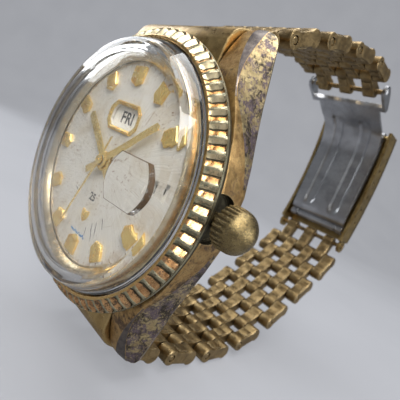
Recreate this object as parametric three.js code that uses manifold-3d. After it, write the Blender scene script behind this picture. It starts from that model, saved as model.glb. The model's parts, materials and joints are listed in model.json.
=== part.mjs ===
// Automatic day-date wristwatch: head, movement, link bracelet and folding clasp.
// Millimetres. +X points to 3 o'clock, +Z to 12 o'clock, the dial faces -Y.
// Heights "h" are measured from the flat of the case back towards the dial, so y = -h.
import * as THREE from 'three';
import { mergeVertices } from 'three/addons/utils/BufferGeometryUtils.js';
import Module from 'manifold-3d';

const wasm = await Module();
wasm.setup();

// ---- head ----
const BACK_FLAT_R = 11.8;
const BACK_FLANGE_R = 14.3;
const CASE_BOTTOM_H = 1.1;
const CASE_TOP_H = 5.2;
const NECK_TOP_H = 6.75;
const NECK_R = 16.0;
const CASE_BORE_R = 13.4;
const LUG_SPAN_X = 9.3;
// half width of the case at its widest, as [distance from the middle, half width]
const FLANK = [[0, 17.4], [3, 17.3], [6, 16.6], [9, 15.7], [12.3, 14.8], [15.5, 14.1],
  [17.7, 13.6], [19.3, 13.25], [20, 12.8], [20.4, 12.2], [20.6, 11.6]];
// outer edge of the top face, which draws in along the lugs
const TOP_EDGE = [[0, 17.4], [3, 17.3], [6, 16.5], [8, 15.95], [10, 15.1], [12, 13.9],
  [14, 12.9], [16, 11.9], [18, 11.1], [20, 10.45], [20.6, 10.3]];
const CASE_ROUND_R = 17.3;
const LUG_STATIONS = [0, 3, 6, 8, 10, 11, 12, 13.5, 15, 16.5, 18, 19.3, 20, 20.4, 20.6];
const BEZEL_R = 18.0;
const BEZEL_BORE_R = 16.2;
const BEZEL_BOTTOM_H = 5.3;
const BEZEL_RIM_H = 6.3;
const BEZEL_TOP_H = 7.5;
const FLUTES = 72;
const FLUTE_DEPTH = 0.3;
const DIAL_R = 13.1;
const DIAL_H = 6.3;
const DIAL_TOP_H = 6.6;
const MARKER_R = 11.4;
const DAY_WINDOW = { z: 5.9, halfX: 2.9, halfZ: 1.35, corner: 0.7 };
const DATE_WINDOW = { x: 9.6, halfX: 1.25, halfZ: 1.0 };
const MAGNIFIER = { x0: 7.3, x1: 13.9, halfZ: 2.6, baseH: 9.9, topH: 11.7 };

// ---- hands, degrees clockwise from 12 o'clock ----
const HOUR_ANGLE = 306;
const MINUTE_ANGLE = 52;
const SECONDS_ANGLE = 197;

// ---- crown and stem ----
const STEM_H = 4.37;
const STEM_R = 0.5;
const CROWN_R = 2.3;
const CROWN_X = 18.7;
const CROWN_END_X = 22.2;
const CROWN_RECESS_R = 2.7;
const CROWN_RIBS = 26;

// ---- movement ----
const PLATE_H = [4.95, 5.3];
const BRIDGE_H = [2.1, 2.5];
const LEVEL_1 = [3.02, 3.24];
const LEVEL_2 = [3.36, 3.58];
const LEVEL_3 = [3.72, 3.95];
const LEVEL_4 = [4.1, 4.35];
const LEVEL_5 = [4.45, 4.65];
const BARREL_TEETH = 48;
const CENTRE_PINION = 8;
const CENTRE_TEETH = 48;
const THIRD_PINION = 6;
const THIRD_TEETH = 45;
const FOURTH_PINION = 6;
const FOURTH_TEETH = 48;
const ESCAPE_PINION = 6;
const ESCAPE_TEETH = 15;
const CANNON_LEAVES = 10;
const MINUTE_TEETH = 30;
const MINUTE_PINION = 8;
const HOUR_TEETH = 32;
const BARREL_AT = polar(6.2, 120);
const THIRD_AT = polar(4.9, -60);
const ESCAPE_AT = polar(5.17, -120);
const MINUTE_AT = polar(4.05, -90);
const PALLET_AT = [-5.25, -6.5];
const BALANCE_AT = [-8.2, -4.3];
const BALANCE_R = 3.4;

// ---- bracelet ----
const COLUMN_PITCH = 2.6;
const COLUMN_WIDTH = 2.4;
const LINK_PITCH = 4.6;
const TUBE_R = 1.3;
const WEB_HALF = 0.8;
const PIN_R = 0.5;
const PIN_BORE_R = 0.8;
const PIN_HALF = 8.95;
// the last pin of the 12 o'clock strand stops short of the clasp frame
const LOOSE_PIN_HALF = 7.6;
const OUTER_COLUMNS = [-3, -1, 1, 3];
const INNER_COLUMNS = [-2, 0, 2];
const SPRING_BAR = { y: -2.0, z: 18.9, r: 0.55, bore: 0.8 };
const UNITS_12 = 9;
const UNITS_6 = 14;
// the worn loop, as [y, z] on the pins from the head to the clasp
const PATH_12 = [[2.4, 21.6], [6.3, 24.1], [10, 26.4], [13.8, 28.2], [17.6, 30], [21.6, 31.4],
  [26, 32.8], [30.6, 33.9], [35.4, 34.4], [39.6, 33], [44, 31]];
const PATH_6 = [[1.3, -21.5], [5.6, -22.9], [10.3, -24], [14.8, -24.6], [19.3, -24.9], [24, -24.7],
  [29.6, -23.4], [35.2, -20.8], [40.6, -16.8], [45.2, -12.9], [49.6, -9.2], [53.2, -5.6],
  [55.4, -1.2], [55.6, 4], [55.6, 9]];

// ---- clasp ----
const COVER_HALF = 8.6;
const COVER_THICK = 0.8;
const COVER_DEPTH = 4.2;
const COVER_HOLES = 5;
const MID_HALF = 6.4;
const INNER_HALF = 7.2;
const BLADE_THICK = 0.5;

// ================= helpers =================

function polar(radius, degrees) {
  const a = degrees * Math.PI / 180;
  return [radius * Math.cos(a), radius * Math.sin(a)];
}

// one welded, outward-facing surface with no collapsed triangles
function weld(geometry) {
  const bare = geometry.clone();
  bare.deleteAttribute('normal');
  bare.deleteAttribute('uv');
  const merged = mergeVertices(bare, 1e-4);
  const index = merged.index.array;
  const p = merged.attributes.position;
  const kept = [];
  let volume = 0;
  const a = new THREE.Vector3();
  const b = new THREE.Vector3();
  const c = new THREE.Vector3();
  for (let i = 0; i < index.length; i += 3) {
    const [u, v, w] = [index[i], index[i + 1], index[i + 2]];
    if (u === v || v === w || w === u) continue;
    kept.push(u, v, w);
    a.fromBufferAttribute(p, u);
    b.fromBufferAttribute(p, v);
    c.fromBufferAttribute(p, w);
    volume += a.dot(b.cross(c));
  }
  if (volume < 0) {
    for (let i = 0; i < kept.length; i += 3) {
      [kept[i], kept[i + 1]] = [kept[i + 1], kept[i]];
    }
  }
  merged.setIndex(kept);
  return merged;
}

function toManifold(geometry) {
  const g = weld(geometry);
  const mesh = new wasm.Mesh({
    numProp: 3,
    vertProperties: new Float32Array(g.attributes.position.array),
    triVerts: new Uint32Array(g.index.array),
  });
  return new wasm.Manifold(mesh);
}

function toGeometry(manifold) {
  const mesh = manifold.getMesh();
  const g = new THREE.BufferGeometry();
  g.setAttribute('position', new THREE.BufferAttribute(new Float32Array(mesh.vertProperties), 3));
  g.setIndex(Array.from(mesh.triVerts));
  return g;
}

function join(...parts) {
  return toGeometry(parts.map(toManifold).reduce((sum, part) => sum.add(part)));
}

function cut(base, ...tools) {
  return toGeometry(tools.map(toManifold).reduce((rest, tool) => rest.subtract(tool), toManifold(base)));
}

function outline(points, holes = []) {
  const shape = new THREE.Shape(points.map(([x, y]) => new THREE.Vector2(x, y)));
  for (const hole of holes) {
    shape.holes.push(new THREE.Path(hole.map(([x, y]) => new THREE.Vector2(x, y))));
  }
  return shape;
}

// outline in (x, z), between two heights above the case back
function prismY(points, h0, h1, holes = []) {
  const g = new THREE.ExtrudeGeometry(outline(points, holes), { depth: h1 - h0, bevelEnabled: false });
  g.rotateX(Math.PI / 2);
  g.translate(0, -h0, 0);
  return g;
}

// outline in (y, z), between two x positions
function prismX(points, x0, x1, holes = []) {
  const g = new THREE.ExtrudeGeometry(outline(points, holes), { depth: x1 - x0, bevelEnabled: false });
  const turn = new THREE.Matrix4().makeBasis(
    new THREE.Vector3(0, 1, 0), new THREE.Vector3(0, 0, 1), new THREE.Vector3(1, 0, 0));
  g.applyMatrix4(turn);
  g.translate(x0, 0, 0);
  return g;
}

// closed profile of [radius, height] turned about the watch's own axis
function turned(profile, segments, at = [0, 0]) {
  const points = profile.map(([r, h]) => new THREE.Vector2(r, -h));
  const g = new THREE.LatheGeometry(points, segments);
  g.translate(at[0], 0, at[1]);
  return g;
}

// closed profile of [radius, x] turned about an axis along X
function turnedX(profile, segments, y, z) {
  const points = profile.map(([r, x]) => new THREE.Vector2(r, x));
  const g = new THREE.LatheGeometry(points, segments);
  g.rotateZ(-Math.PI / 2);
  g.translate(0, y, z);
  return g;
}

function ring(rIn, rOut, h0, h1) {
  return [[rIn, h0], [rOut, h0], [rOut, h1], [rIn, h1], [rIn, h0]];
}

function rod(r, h0, h1) {
  return [[0, h0], [r, h0], [r, h1], [0, h1]];
}

function circle(radius, count, cx = 0, cy = 0, start = 0) {
  return Array.from({ length: count }, (_, i) => {
    const a = start + i * 2 * Math.PI / count;
    return [cx + radius * Math.cos(a), cy + radius * Math.sin(a)];
  });
}

// pointed teeth: alternate tip and root, with one tip at the stated angle
function toothed(teeth, rTip, rRoot, tipAngle, at = [0, 0]) {
  const points = [];
  for (let i = 0; i < teeth; i++) {
    const a = tipAngle + i * 2 * Math.PI / teeth;
    const b = a + Math.PI / teeth;
    points.push([at[0] + rTip * Math.cos(a), at[1] + rTip * Math.sin(a)]);
    points.push([at[0] + rRoot * Math.cos(b), at[1] + rRoot * Math.sin(b)]);
  }
  return points;
}

// tooth sizes and phases for a pair: the first gear has a tip on the line of centres
function mesh(fromAt, toAt, fromTeeth, toTeeth) {
  const dx = toAt[0] - fromAt[0];
  const dz = toAt[1] - fromAt[1];
  const angle = Math.atan2(dz, dx);
  const module = 2 * (Math.hypot(dx, dz) - 0.03) / (fromTeeth + toTeeth);
  const gear = (teeth, tip, at) => {
    const pitch = module * teeth / 2;
    return toothed(teeth, pitch + 0.7 * module, pitch - 1.15 * module, tip, at);
  };
  return {
    first: gear(fromTeeth, angle, fromAt),
    second: gear(toTeeth, angle + Math.PI + Math.PI / toTeeth, toAt),
  };
}

// points every pitch along a smooth path, measured straight from pin to pin
function chain(path, pitch, count) {
  const curve = new THREE.SplineCurve(path.map(([y, z]) => new THREE.Vector2(y, z)));
  const points = [path[0]];
  let last = curve.getPoint(0);
  for (let t = 0; points.length <= count && t < 1; t += 0.0005) {
    const p = curve.getPoint(t);
    if (p.distanceTo(last) >= pitch) {
      points.push([p.x, p.y]);
      last = p;
    }
  }
  return points;
}

// a band of even thickness along an open path of [y, z]
function band(path, thickness, x0, x1) {
  const side = (offset) => path.map(([y, z], i) => {
    const [py, pz] = path[Math.max(i - 1, 0)];
    const [ny, nz] = path[Math.min(i + 1, path.length - 1)];
    const length = Math.hypot(ny - py, nz - pz);
    return [y - (nz - pz) / length * offset, z + (ny - py) / length * offset];
  });
  return prismX([...side(-thickness / 2), ...side(thickness / 2).reverse()], x0, x1);
}

function pinX(r, half, y, z, sides = 6) {
  return prismX(circle(r, sides, y, z), -half, half);
}

const PINS_12 = chain(PATH_12, LINK_PITCH, UNITS_12);
const PINS_6 = chain(PATH_6, LINK_PITCH, UNITS_6);

// ================= case =================

function lookUp(table, z) {
  const i = Math.max(1, table.findIndex(([at]) => z <= at));
  const [[z0, v0], [z1, v1]] = [table[i - 1], table[i]];
  return v0 + (v1 - v0) * (z - z0) / (z1 - z0);
}

function ease(from, to, v) {
  const t = Math.min(1, Math.max(0, (v - from) / (to - from)));
  return t * t * (3 - 2 * t);
}

// cross-section of one side of the case, from its inner bottom corner round to its inner top corner:
// a wall at the crown, turning into a narrow top bevel and one broad facet along the lug
function sideSection(z) {
  const end = Math.max(0, (z - 19.3) / 1.3) ** 2;
  const dip = 0.035 * Math.max(0, z - 12) ** 2;
  const top = CASE_TOP_H - dip - 0.5 * end;
  const low = CASE_BOTTOM_H + 0.3 * end;
  const inner = LUG_SPAN_X + 0.8 * end;
  const wide = lookUp(FLANK, z);
  const edge = lookUp(TOP_EDGE, z);
  const lug = ease(11, 14, z);
  const bevel = (0.05 + 1.2 * ease(12, 20.6, z)) * lug;
  const bevelH = top - 0.3 * (1 - lug) - (0.5 - 0.25 * end) * bevel;
  const facetH = low + 0.8 + (bevelH - 0.05 - low - 0.8) * ease(3, 13, z);
  return [[inner, low], [wide - 0.45, low], [wide, low + 0.45 - 0.27 * end], [edge + bevel + 0.03, facetH],
    [edge + bevel, bevelH], [edge - 0.35 * (1 - lug), top], [inner, top]];
}

// the part of a disc that lies between -halfX and halfX, as an outline in (x, z)
function roundBetween(radius, halfX) {
  const a = Math.acos(halfX / radius);
  const arc = Array.from({ length: 25 }, (_, i) => a + (Math.PI - 2 * a) * i / 24);
  const points = arc.map((t) => [radius * Math.cos(t), radius * Math.sin(t)]);
  return [...points, ...points.map(([x, z]) => [-x, -z])];
}

// one side of the case with its two lugs, side is 1 or -1
function sideBar(side) {
  const stations = [...LUG_STATIONS.slice(1).reverse().map((z) => -z), ...LUG_STATIONS];
  return loft(stations.map((z) => sideSection(Math.abs(z)).map(([x, h]) => [side * x, -h, z])), inXY);
}

function inXY([x, y]) {
  return new THREE.Vector2(x, y);
}

function inXZ([x, , z]) {
  return new THREE.Vector2(x, z);
}

// closed surface through rings of equal length, with ends that lie in the stated plane
function loft(rings, plane) {
  const count = rings[0].length;
  const positions = rings.flat(2);
  const index = [];
  for (let k = 0; k + 1 < rings.length; k++) {
    for (let i = 0; i < count; i++) {
      const j = (i + 1) % count;
      const [a, b] = [k * count + i, k * count + j];
      index.push(a, b, b + count, a, b + count, a + count);
    }
  }
  const flat = rings[0].map(plane);
  const caps = [[rings[0], 0, true], [rings[rings.length - 1], (rings.length - 1) * count, false]];
  for (const [points, start, flip] of caps) {
    const cap = points.map(plane);
    for (const [a, b, c] of THREE.ShapeUtils.triangulateShape(cap, [])) {
      const turn = THREE.ShapeUtils.isClockWise(flat) ? !flip : flip;
      index.push(...(turn ? [start + a, start + c, start + b] : [start + a, start + b, start + c]));
    }
  }
  const g = new THREE.BufferGeometry();
  g.setAttribute('position', new THREE.BufferAttribute(new Float32Array(positions), 3));
  g.setIndex(index);
  return g;
}

function caseMiddle() {
  const middle = prismY(roundBetween(CASE_ROUND_R, LUG_SPAN_X + 0.1), CASE_BOTTOM_H + 0.01, CASE_TOP_H - 0.01);
  const neck = turned(ring(CASE_BORE_R - 0.5, NECK_R, CASE_TOP_H - 1, NECK_TOP_H), 44);
  const bore = turned(rod(CASE_BORE_R, CASE_BOTTOM_H - 1, NECK_TOP_H + 1), 44);
  const recess = turnedX([[0, 16.4], [CROWN_RECESS_R, 16.4], [CROWN_RECESS_R, 20], [0, 20]], 24, -STEM_H, 0);
  const stemHole = turnedX([[0, 12], [0.75, 12], [0.75, 19], [0, 19]], 12, -STEM_H, 0);
  const barHoles = [1, -1].map((s) => pinX(0.5, LUG_SPAN_X + 1, SPRING_BAR.y, s * SPRING_BAR.z, 8));
  return cut(join(middle, sideBar(1), sideBar(-1), neck), bore, stemHole, recess, ...barHoles);
}

function bezel() {
  const ridge = [[BEZEL_BORE_R, BEZEL_BOTTOM_H], [17.7, BEZEL_BOTTOM_H],
    [BEZEL_R, BEZEL_RIM_H], [16.55, BEZEL_TOP_H], [BEZEL_BORE_R, BEZEL_TOP_H]];
  const valley = ridge.map(([r, h], i) => (i === 2 ? [r - FLUTE_DEPTH * 0.6, h - FLUTE_DEPTH * 0.8]
    : i === 3 ? [r, h - FLUTE_DEPTH] : [r, h]));
  const stations = FLUTES * 2;
  const count = ridge.length;
  const positions = [];
  const index = [];
  for (let s = 0; s < stations; s++) {
    const a = s * 2 * Math.PI / stations;
    for (const [r, h] of s % 2 ? valley : ridge) {
      positions.push(r * Math.cos(a), -h, r * Math.sin(a));
    }
    for (let i = 0; i < count; i++) {
      const p = s * count + i;
      const q = s * count + (i + 1) % count;
      const step = ((s + 1) % stations) * count - s * count;
      index.push(p, q, q + step, p, q + step, p + step);
    }
  }
  const g = new THREE.BufferGeometry();
  g.setAttribute('position', new THREE.BufferAttribute(new Float32Array(positions), 3));
  g.setIndex(index);
  return g;
}

function crystal() {
  const shell = turned([[0, 10], [5, 9.9], [9, 9.6], [12, 9.1], [13.4, 8.65], [14.3, 8], [14.75, 6.85],
    [16.03, 6.85], [16.03, 7.73], [14.91, 9.73], [14.2, 10.05], [12, 10.5], [8, 10.98], [4, 11.22],
    [0, 11.3]], 36);
  const m = MAGNIFIER;
  const level = (h, inset) => {
    const z = m.halfZ - inset;
    return [[m.x0 + inset, -z * 0.55], [m.x0 + 0.9 + inset, -z], [m.x1 - 1.1 - inset, -z],
      [m.x1 - inset, -z * 0.45], [m.x1 - inset, z * 0.45], [m.x1 - 1.1 - inset, z],
      [m.x0 + 0.9 + inset, z], [m.x0 + inset, z * 0.55]].map(([x, zz]) => [x, -h, zz]);
  };
  const lens = loft([level(m.baseH, 0), level(m.topH - 0.45, 0.15), level(m.topH - 0.1, 0.7),
    level(m.topH, 1.4)], inXZ);
  return join(shell, lens);
}

function reflectorRing() {
  return turned([[13.25, 6.85], [14.5, 6.85], [14.1, 7.75], [13.9, 7.75], [13.25, 6.85]], 36);
}

function windowOctagon(grow) {
  const w = DAY_WINDOW;
  const x = w.halfX + grow;
  const z = w.halfZ + grow;
  const c = w.corner + grow * 0.4;
  return [[x, -z + c], [x, z - c], [x - c, z], [-x + c, z], [-x, z - c], [-x, -z + c], [-x + c, -z],
    [x - c, -z]].map(([px, pz]) => [px, pz + w.z]);
}

function rectangle(halfX, halfZ, x, z) {
  return [[x - halfX, z - halfZ], [x + halfX, z - halfZ], [x + halfX, z + halfZ], [x - halfX, z + halfZ]];
}

function dial() {
  const w = DATE_WINDOW;
  const plate = prismY(circle(DIAL_R, 48), DIAL_H, DIAL_TOP_H,
    [circle(1.25, 12), windowOctagon(0), rectangle(w.halfX, w.halfZ, w.x, 0)]);
  const markers = [];
  for (let hour = 1; hour <= 12; hour++) {
    if (hour === 3) continue;
    const half = hour % 6 === 0 ? 0.95 : 0.75;
    const g = prismY(rectangle(half, 1.05, 0, MARKER_R), DIAL_TOP_H - 0.1, DIAL_TOP_H + 0.5);
    g.rotateY(hour * Math.PI / 6);
    markers.push(g);
  }
  const emblem = prismY([[0, -8.1], [0.8, -7.3], [0.8, -6.5], [-0.8, -6.5], [-0.8, -7.3]],
    DIAL_TOP_H - 0.1, DIAL_TOP_H + 0.2);
  return join(plate, ...markers, emblem);
}

function dayWindowFrame() {
  return prismY(windowOctagon(0.55), DIAL_TOP_H + 0.04, DIAL_TOP_H + 0.3, [windowOctagon(0.02)]);
}

// ================= hands =================

function hand(degrees, reach, tail, half, hub, bore, h0, h1) {
  const body = prismY([[-half, -tail], [half, -tail], [half, reach - half * 1.5], [0, reach],
    [-half, reach - half * 1.5]], h0, h1);
  const disc = prismY(circle(hub, 16), h0, h1);
  const g = cut(join(body, disc), prismY(circle(bore, 12), h0 - 1, h1 + 1));
  g.rotateY(degrees * Math.PI / 180);
  return g;
}

// ================= motion work and calendar =================

const CANNON = mesh([0, 0], MINUTE_AT, CANNON_LEAVES, MINUTE_TEETH);
const HOUR = mesh(MINUTE_AT, [0, 0], MINUTE_PINION, HOUR_TEETH);

function cannonPinion() {
  const tube = prismY(circle(0.7, 12), 5.42, 7.6);
  return cut(join(prismY(CANNON.first, 5.42, 5.62), tube), prismY(circle(0.52, 12), 5, 8));
}

function minuteWheel() {
  const wheel = prismY(CANNON.second, 5.42, 5.6);
  const pinion = prismY(HOUR.first, 5.5, 5.9);
  return cut(join(wheel, pinion), prismY(circle(0.36, 8, ...MINUTE_AT), 5, 7));
}

function hourWheel() {
  const wheel = prismY(HOUR.second, 5.7, 5.9);
  return cut(join(wheel, prismY(circle(1, 12), 5.7, 7.2)), prismY(circle(0.8, 12), 5, 8));
}

function dayDisc() {
  return prismY(circle(8.3, 28), 6.0, 6.18, [circle(1.4, 14)]);
}

function dateDisc() {
  return prismY(circle(12.8, 31), 5.55, 5.85, [toothed(31, 9.1, 8.6, 0)]);
}

// ================= movement =================

const CENTRE_MESH = mesh(BARREL_AT, [0, 0], BARREL_TEETH, CENTRE_PINION);
const THIRD_MESH = mesh([0, 0], THIRD_AT, CENTRE_TEETH, THIRD_PINION);
const FOURTH_MESH = mesh(THIRD_AT, [0, 0], THIRD_TEETH, FOURTH_PINION);
const ESCAPE_MESH = mesh([0, 0], ESCAPE_AT, FOURTH_TEETH, ESCAPE_PINION);

function mainPlate() {
  const holes = [circle(0.7, 12), circle(0.35, 8, ...THIRD_AT), circle(0.35, 8, ...ESCAPE_AT),
    circle(0.35, 8, ...BALANCE_AT), circle(0.35, 8, ...PALLET_AT), circle(0.7, 8, ...BARREL_AT)];
  const plate = prismY(circle(13, 36), PLATE_H[0], PLATE_H[1], holes);
  return join(plate, prismY(circle(0.25, 8, ...MINUTE_AT), PLATE_H[0] + 0.1, 5.95));
}

function barrel() {
  const drum = prismY(circle(4.85, 32, ...BARREL_AT), LEVEL_4[0], 4.85);
  const teeth = prismY(CENTRE_MESH.first, LEVEL_4[0], LEVEL_4[1]);
  const arbor = prismY(circle(0.5, 8, ...BARREL_AT), 2.7, 5.2);
  return join(drum, teeth, arbor);
}

function centreWheel() {
  const wheel = prismY(THIRD_MESH.first, LEVEL_3[0], LEVEL_3[1]);
  const pinion = prismY(CENTRE_MESH.second, LEVEL_3[1] - 0.1, 4.6);
  const tube = prismY(circle(0.42, 12), LEVEL_3[0], 6.9);
  return cut(join(wheel, pinion, tube), prismY(circle(0.3, 12), 3, 8));
}

function thirdWheel() {
  const wheel = prismY(FOURTH_MESH.first, LEVEL_2[0], LEVEL_2[1]);
  const pinion = prismY(THIRD_MESH.second, LEVEL_2[1] - 0.1, 4.02);
  return join(wheel, pinion, prismY(circle(0.18, 6, ...THIRD_AT), 2.7, 5.2));
}

function fourthWheel() {
  const wheel = prismY(ESCAPE_MESH.first, LEVEL_1[0], LEVEL_1[1]);
  const pinion = prismY(FOURTH_MESH.second, LEVEL_1[1] - 0.1, 3.64);
  return join(wheel, pinion, prismY(circle(0.18, 8), 2.7, 7.95));
}

function escapeWheel() {
  const wheel = prismY(toothed(ESCAPE_TEETH, 2.0, 1.35, 0, ESCAPE_AT), LEVEL_5[0], LEVEL_5[1]);
  const pinion = prismY(ESCAPE_MESH.second, LEVEL_1[0] - 0.05, 3.3);
  return join(wheel, pinion, prismY(circle(0.18, 6, ...ESCAPE_AT), 2.7, 5.2));
}

function palletFork() {
  const [px, pz] = PALLET_AT;
  const toBalance = Math.atan2(BALANCE_AT[1] - pz, BALANCE_AT[0] - px);
  const lever = prismY([[0.15, -0.16], [2.55, -0.16], [2.9, -0.42], [2.9, -0.18], [2.6, 0], [2.9, 0.18],
    [2.9, 0.42], [2.55, 0.16], [0.15, 0.16], [0.1, 1.3], [-0.3, 1.3], [-0.3, -1.3], [0.1, -1.3]],
  LEVEL_5[0], LEVEL_5[1]);
  lever.rotateY(-toBalance);
  lever.translate(px, 0, pz);
  return join(lever, prismY(circle(0.2, 8, px, pz), 2.7, 5.2));
}

function balanceWheel() {
  const rim = turned(ring(BALANCE_R - 0.45, BALANCE_R, 3.0, 3.35), 24);
  const arm = prismY(rectangle(BALANCE_R - 0.2, 0.22, 0, 0), 3.05, 3.25);
  const staff = prismY(circle(0.22, 8), 2.7, 5.2);
  const roller = prismY(circle(0.55, 10), 4.1, 4.35);
  const pin = prismY(circle(0.1, 6, 0.35, 0), 4.2, 4.65);
  const g = join(rim, arm, staff, roller, pin);
  g.translate(BALANCE_AT[0], 0, BALANCE_AT[1]);
  return g;
}

function hairspring() {
  const inner = [];
  const outer = [];
  const steps = 32;
  for (let i = 0; i <= steps; i++) {
    const a = i / steps * 3.6 * 2 * Math.PI;
    const r = 0.5 + 1.9 * i / steps;
    inner.push([(r - 0.05) * Math.cos(a), (r - 0.05) * Math.sin(a)]);
    outer.push([(r + 0.05) * Math.cos(a), (r + 0.05) * Math.sin(a)]);
  }
  const g = prismY([...inner, ...outer.reverse()], 3.5, 3.75);
  g.translate(BALANCE_AT[0], 0, BALANCE_AT[1]);
  return g;
}

function pillar(x, z) {
  return prismY(circle(0.6, 10, x, z), BRIDGE_H[1] - 0.1, PLATE_H[0] - 0.05);
}

function balanceCock() {
  const [bx, bz] = BALANCE_AT;
  const arm = prismY([[bx + 0.9, bz + 1.1], [bx - 1.1, bz + 0.9], [bx - 2.9, bz - 2.4], [-9, -8.6],
    [-7.8, -9.4], [bx + 0.6, bz - 1.0]], BRIDGE_H[0], BRIDGE_H[1], [circle(0.4, 8, bx, bz)]);
  return join(arm, pillar(-8.6, -8.7));
}

function trainBridge() {
  const gap = circle(4.9, 28, BALANCE_AT[0] - 1.1, BALANCE_AT[1] - 0.9);
  const plate = prismY(circle(12.9, 36), BRIDGE_H[0], BRIDGE_H[1],
    [circle(0.4, 8, ...THIRD_AT), circle(0.75, 8, ...BARREL_AT)]);
  const post = prismY(circle(0.5, 12), 0.95, BRIDGE_H[0] + 0.2);
  return cut(join(plate, post, pillar(11, 5.2), pillar(4.5, -10.6), pillar(-11.2, 3.2)),
    prismY(gap, 1, 2.9));
}

function rotor() {
  const sector = (rIn, rOut, h0, h1) => {
    const points = [];
    for (let i = 0; i <= 18; i++) points.push(polar(rOut, 180 + i * 10));
    for (let i = 18; i >= 0; i--) points.push(polar(rIn, 180 + i * 10));
    return prismY(points, h0, h1);
  };
  const web = prismY([[-12.2, 0.1], ...Array.from({ length: 19 }, (_, i) => polar(12.2, 180 + i * 10)),
    [12.2, 0.1]], 1.15, 1.4);
  const hub = prismY(circle(1.8, 16), 1.05, 1.6);
  return cut(join(web, sector(10, 12.35, 1.1, 1.9), hub), prismY(circle(0.75, 12), 0.5, 3));
}

// a fork that rides in the stem's groove, open towards the dial
function settingSlide() {
  const fork = [[0.42, -1.3], [-0.77, -1.3], [-0.77, 1.3], [0.42, 1.3], [0.42, 0.45], [-0.32, 0.45],
    [-0.32, -0.45], [0.42, -0.45]];
  return prismX(fork.map(([h, z]) => [-STEM_H - h, z]), 9.7, 10.1);
}

function windingStem() {
  return turnedX([[0, 8.9], [STEM_R, 8.9], [STEM_R, 9.5], [0.28, 9.5], [0.28, 10.3], [STEM_R, 10.3],
    [STEM_R, 20.5], [0, 20.5]], 10, -STEM_H, 0);
}

function crown() {
  const knurl = prismX(toothed(CROWN_RIBS, CROWN_R, CROWN_R - 0.18, 0, [-STEM_H, 0]), CROWN_X, 20.2);
  const dome = turnedX([[0, 19.9], [2.1, 19.9], [2.16, 20.4], [2.02, 21.0], [1.62, 21.6], [0.9, 22.05],
    [0, CROWN_END_X]], 24, -STEM_H, 0);
  const neck = turnedX([[0, 16.9], [0.86, 16.9], [0.86, 19], [0, 19]], 12, -STEM_H, 0);
  const bore = turnedX([[0, 16], [0.58, 16], [0.58, 20.6], [0, 20.6]], 10, -STEM_H, 0);
  return cut(join(knurl, dome, neck), bore);
}

function caseBack() {
  const body = turned([[0, 0], [BACK_FLAT_R, 0], [14, 0.55], [BACK_FLANGE_R, 0.7], [BACK_FLANGE_R, 1.04],
    [13.15, 1.04], [13.15, 1.9], [12.75, 1.9], [12.75, 0.8], [0, 0.8]], 36);
  const notches = [];
  for (let i = 0; i < 6; i++) {
    const g = prismY(rectangle(0.7, 0.9, 13.7, 0), -0.2, 0.5);
    g.rotateY((i + 0.5) * Math.PI / 3);
    notches.push(g);
  }
  return cut(body, ...notches);
}

// ================= bracelet =================

function springBar(side) {
  const { y, z, r } = SPRING_BAR;
  return turnedX([[0, -9.9], [0.36, -9.9], [0.36, -8.8], [r, -8.8], [r, 8.8], [0.36, 8.8], [0.36, 9.9],
    [0, 9.9]], 8, y, side * z);
}

// side view of one link plate: a tube at each end and a flat web between, [y, z]
function linkOutline(a, b) {
  const length = Math.hypot(b[0] - a[0], b[1] - a[1]);
  const u = [(b[0] - a[0]) / length, (b[1] - a[1]) / length];
  const half = Math.PI - Math.asin(WEB_HALF / TUBE_R);
  const local = [];
  for (let i = 0; i <= 5; i++) {
    const t = -half + i * half / 2.5;
    local.push([length + TUBE_R * Math.cos(t), TUBE_R * Math.sin(t)]);
  }
  for (let i = 0; i <= 5; i++) {
    const t = Math.PI - half + i * half / 2.5;
    local.push([TUBE_R * Math.cos(t), TUBE_R * Math.sin(t)]);
  }
  return local.map(([p, q]) => [a[0] + u[0] * p - u[1] * q, a[1] + u[1] * p + u[0] * q]);
}

function plates(columns, a, b, bored) {
  const holes = bored ? [circle(PIN_BORE_R, 6, ...a)] : [];
  return columns.map((column) => {
    const x = column * COLUMN_PITCH;
    return prismX(linkOutline(a, b), x - COLUMN_WIDTH / 2, x + COLUMN_WIDTH / 2, holes);
  });
}

// one swinging unit: its plates ride the last pin and carry the next one
function linkUnit(columns, a, b, pinHalf = PIN_HALF) {
  return join(...plates(columns, a, b, true), pinX(PIN_R, pinHalf, ...b));
}

function endLink(side, columns, pin) {
  const s = side;
  const profile = [[-4.9, 14], [-4.9, 17.4], [-4.7, 18.5], [-3.9, 19.6], [-2.6, 20.4], [-1, 20.8],
    [0.3, 20.5], [0.7, 19.6], [0.4, 14]].map(([y, z]) => [y, s * z]);
  const body = prismX(profile, -9.12, 9.12);
  const cylinder = turned(rod(17.5, -2, 6), 44);
  const bore = pinX(SPRING_BAR.bore, 10, SPRING_BAR.y, s * SPRING_BAR.z, 8);
  const root = [-0.2, s * 19.6];
  const tabs = plates(columns, root, pin, false);
  return cut(join(body, ...tabs, pinX(PIN_R, PIN_HALF, ...pin)), cylinder, bore);
}

// ================= clasp =================

const COVER_PIN = PINS_6[UNITS_6];
const FOLD_TOP = [COVER_PIN[0] + 0.5, COVER_PIN[1] + 28];
const FOLD_LOW = [COVER_PIN[0] - 0.1, COVER_PIN[1] + 3.6];
const FRAME_PIN = PINS_12[UNITS_12];

function offsetPath(dy) {
  const [y, z] = COVER_PIN;
  return [[y + 2.1, z + 1.2], [y + 3.2, z + 7.5], [y + 3.6, z + 15.5], [y + 3.1, z + 22.5],
    [y + 1.9, z + 28.6]].map(([a, b]) => [a - dy, b]);
}

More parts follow.
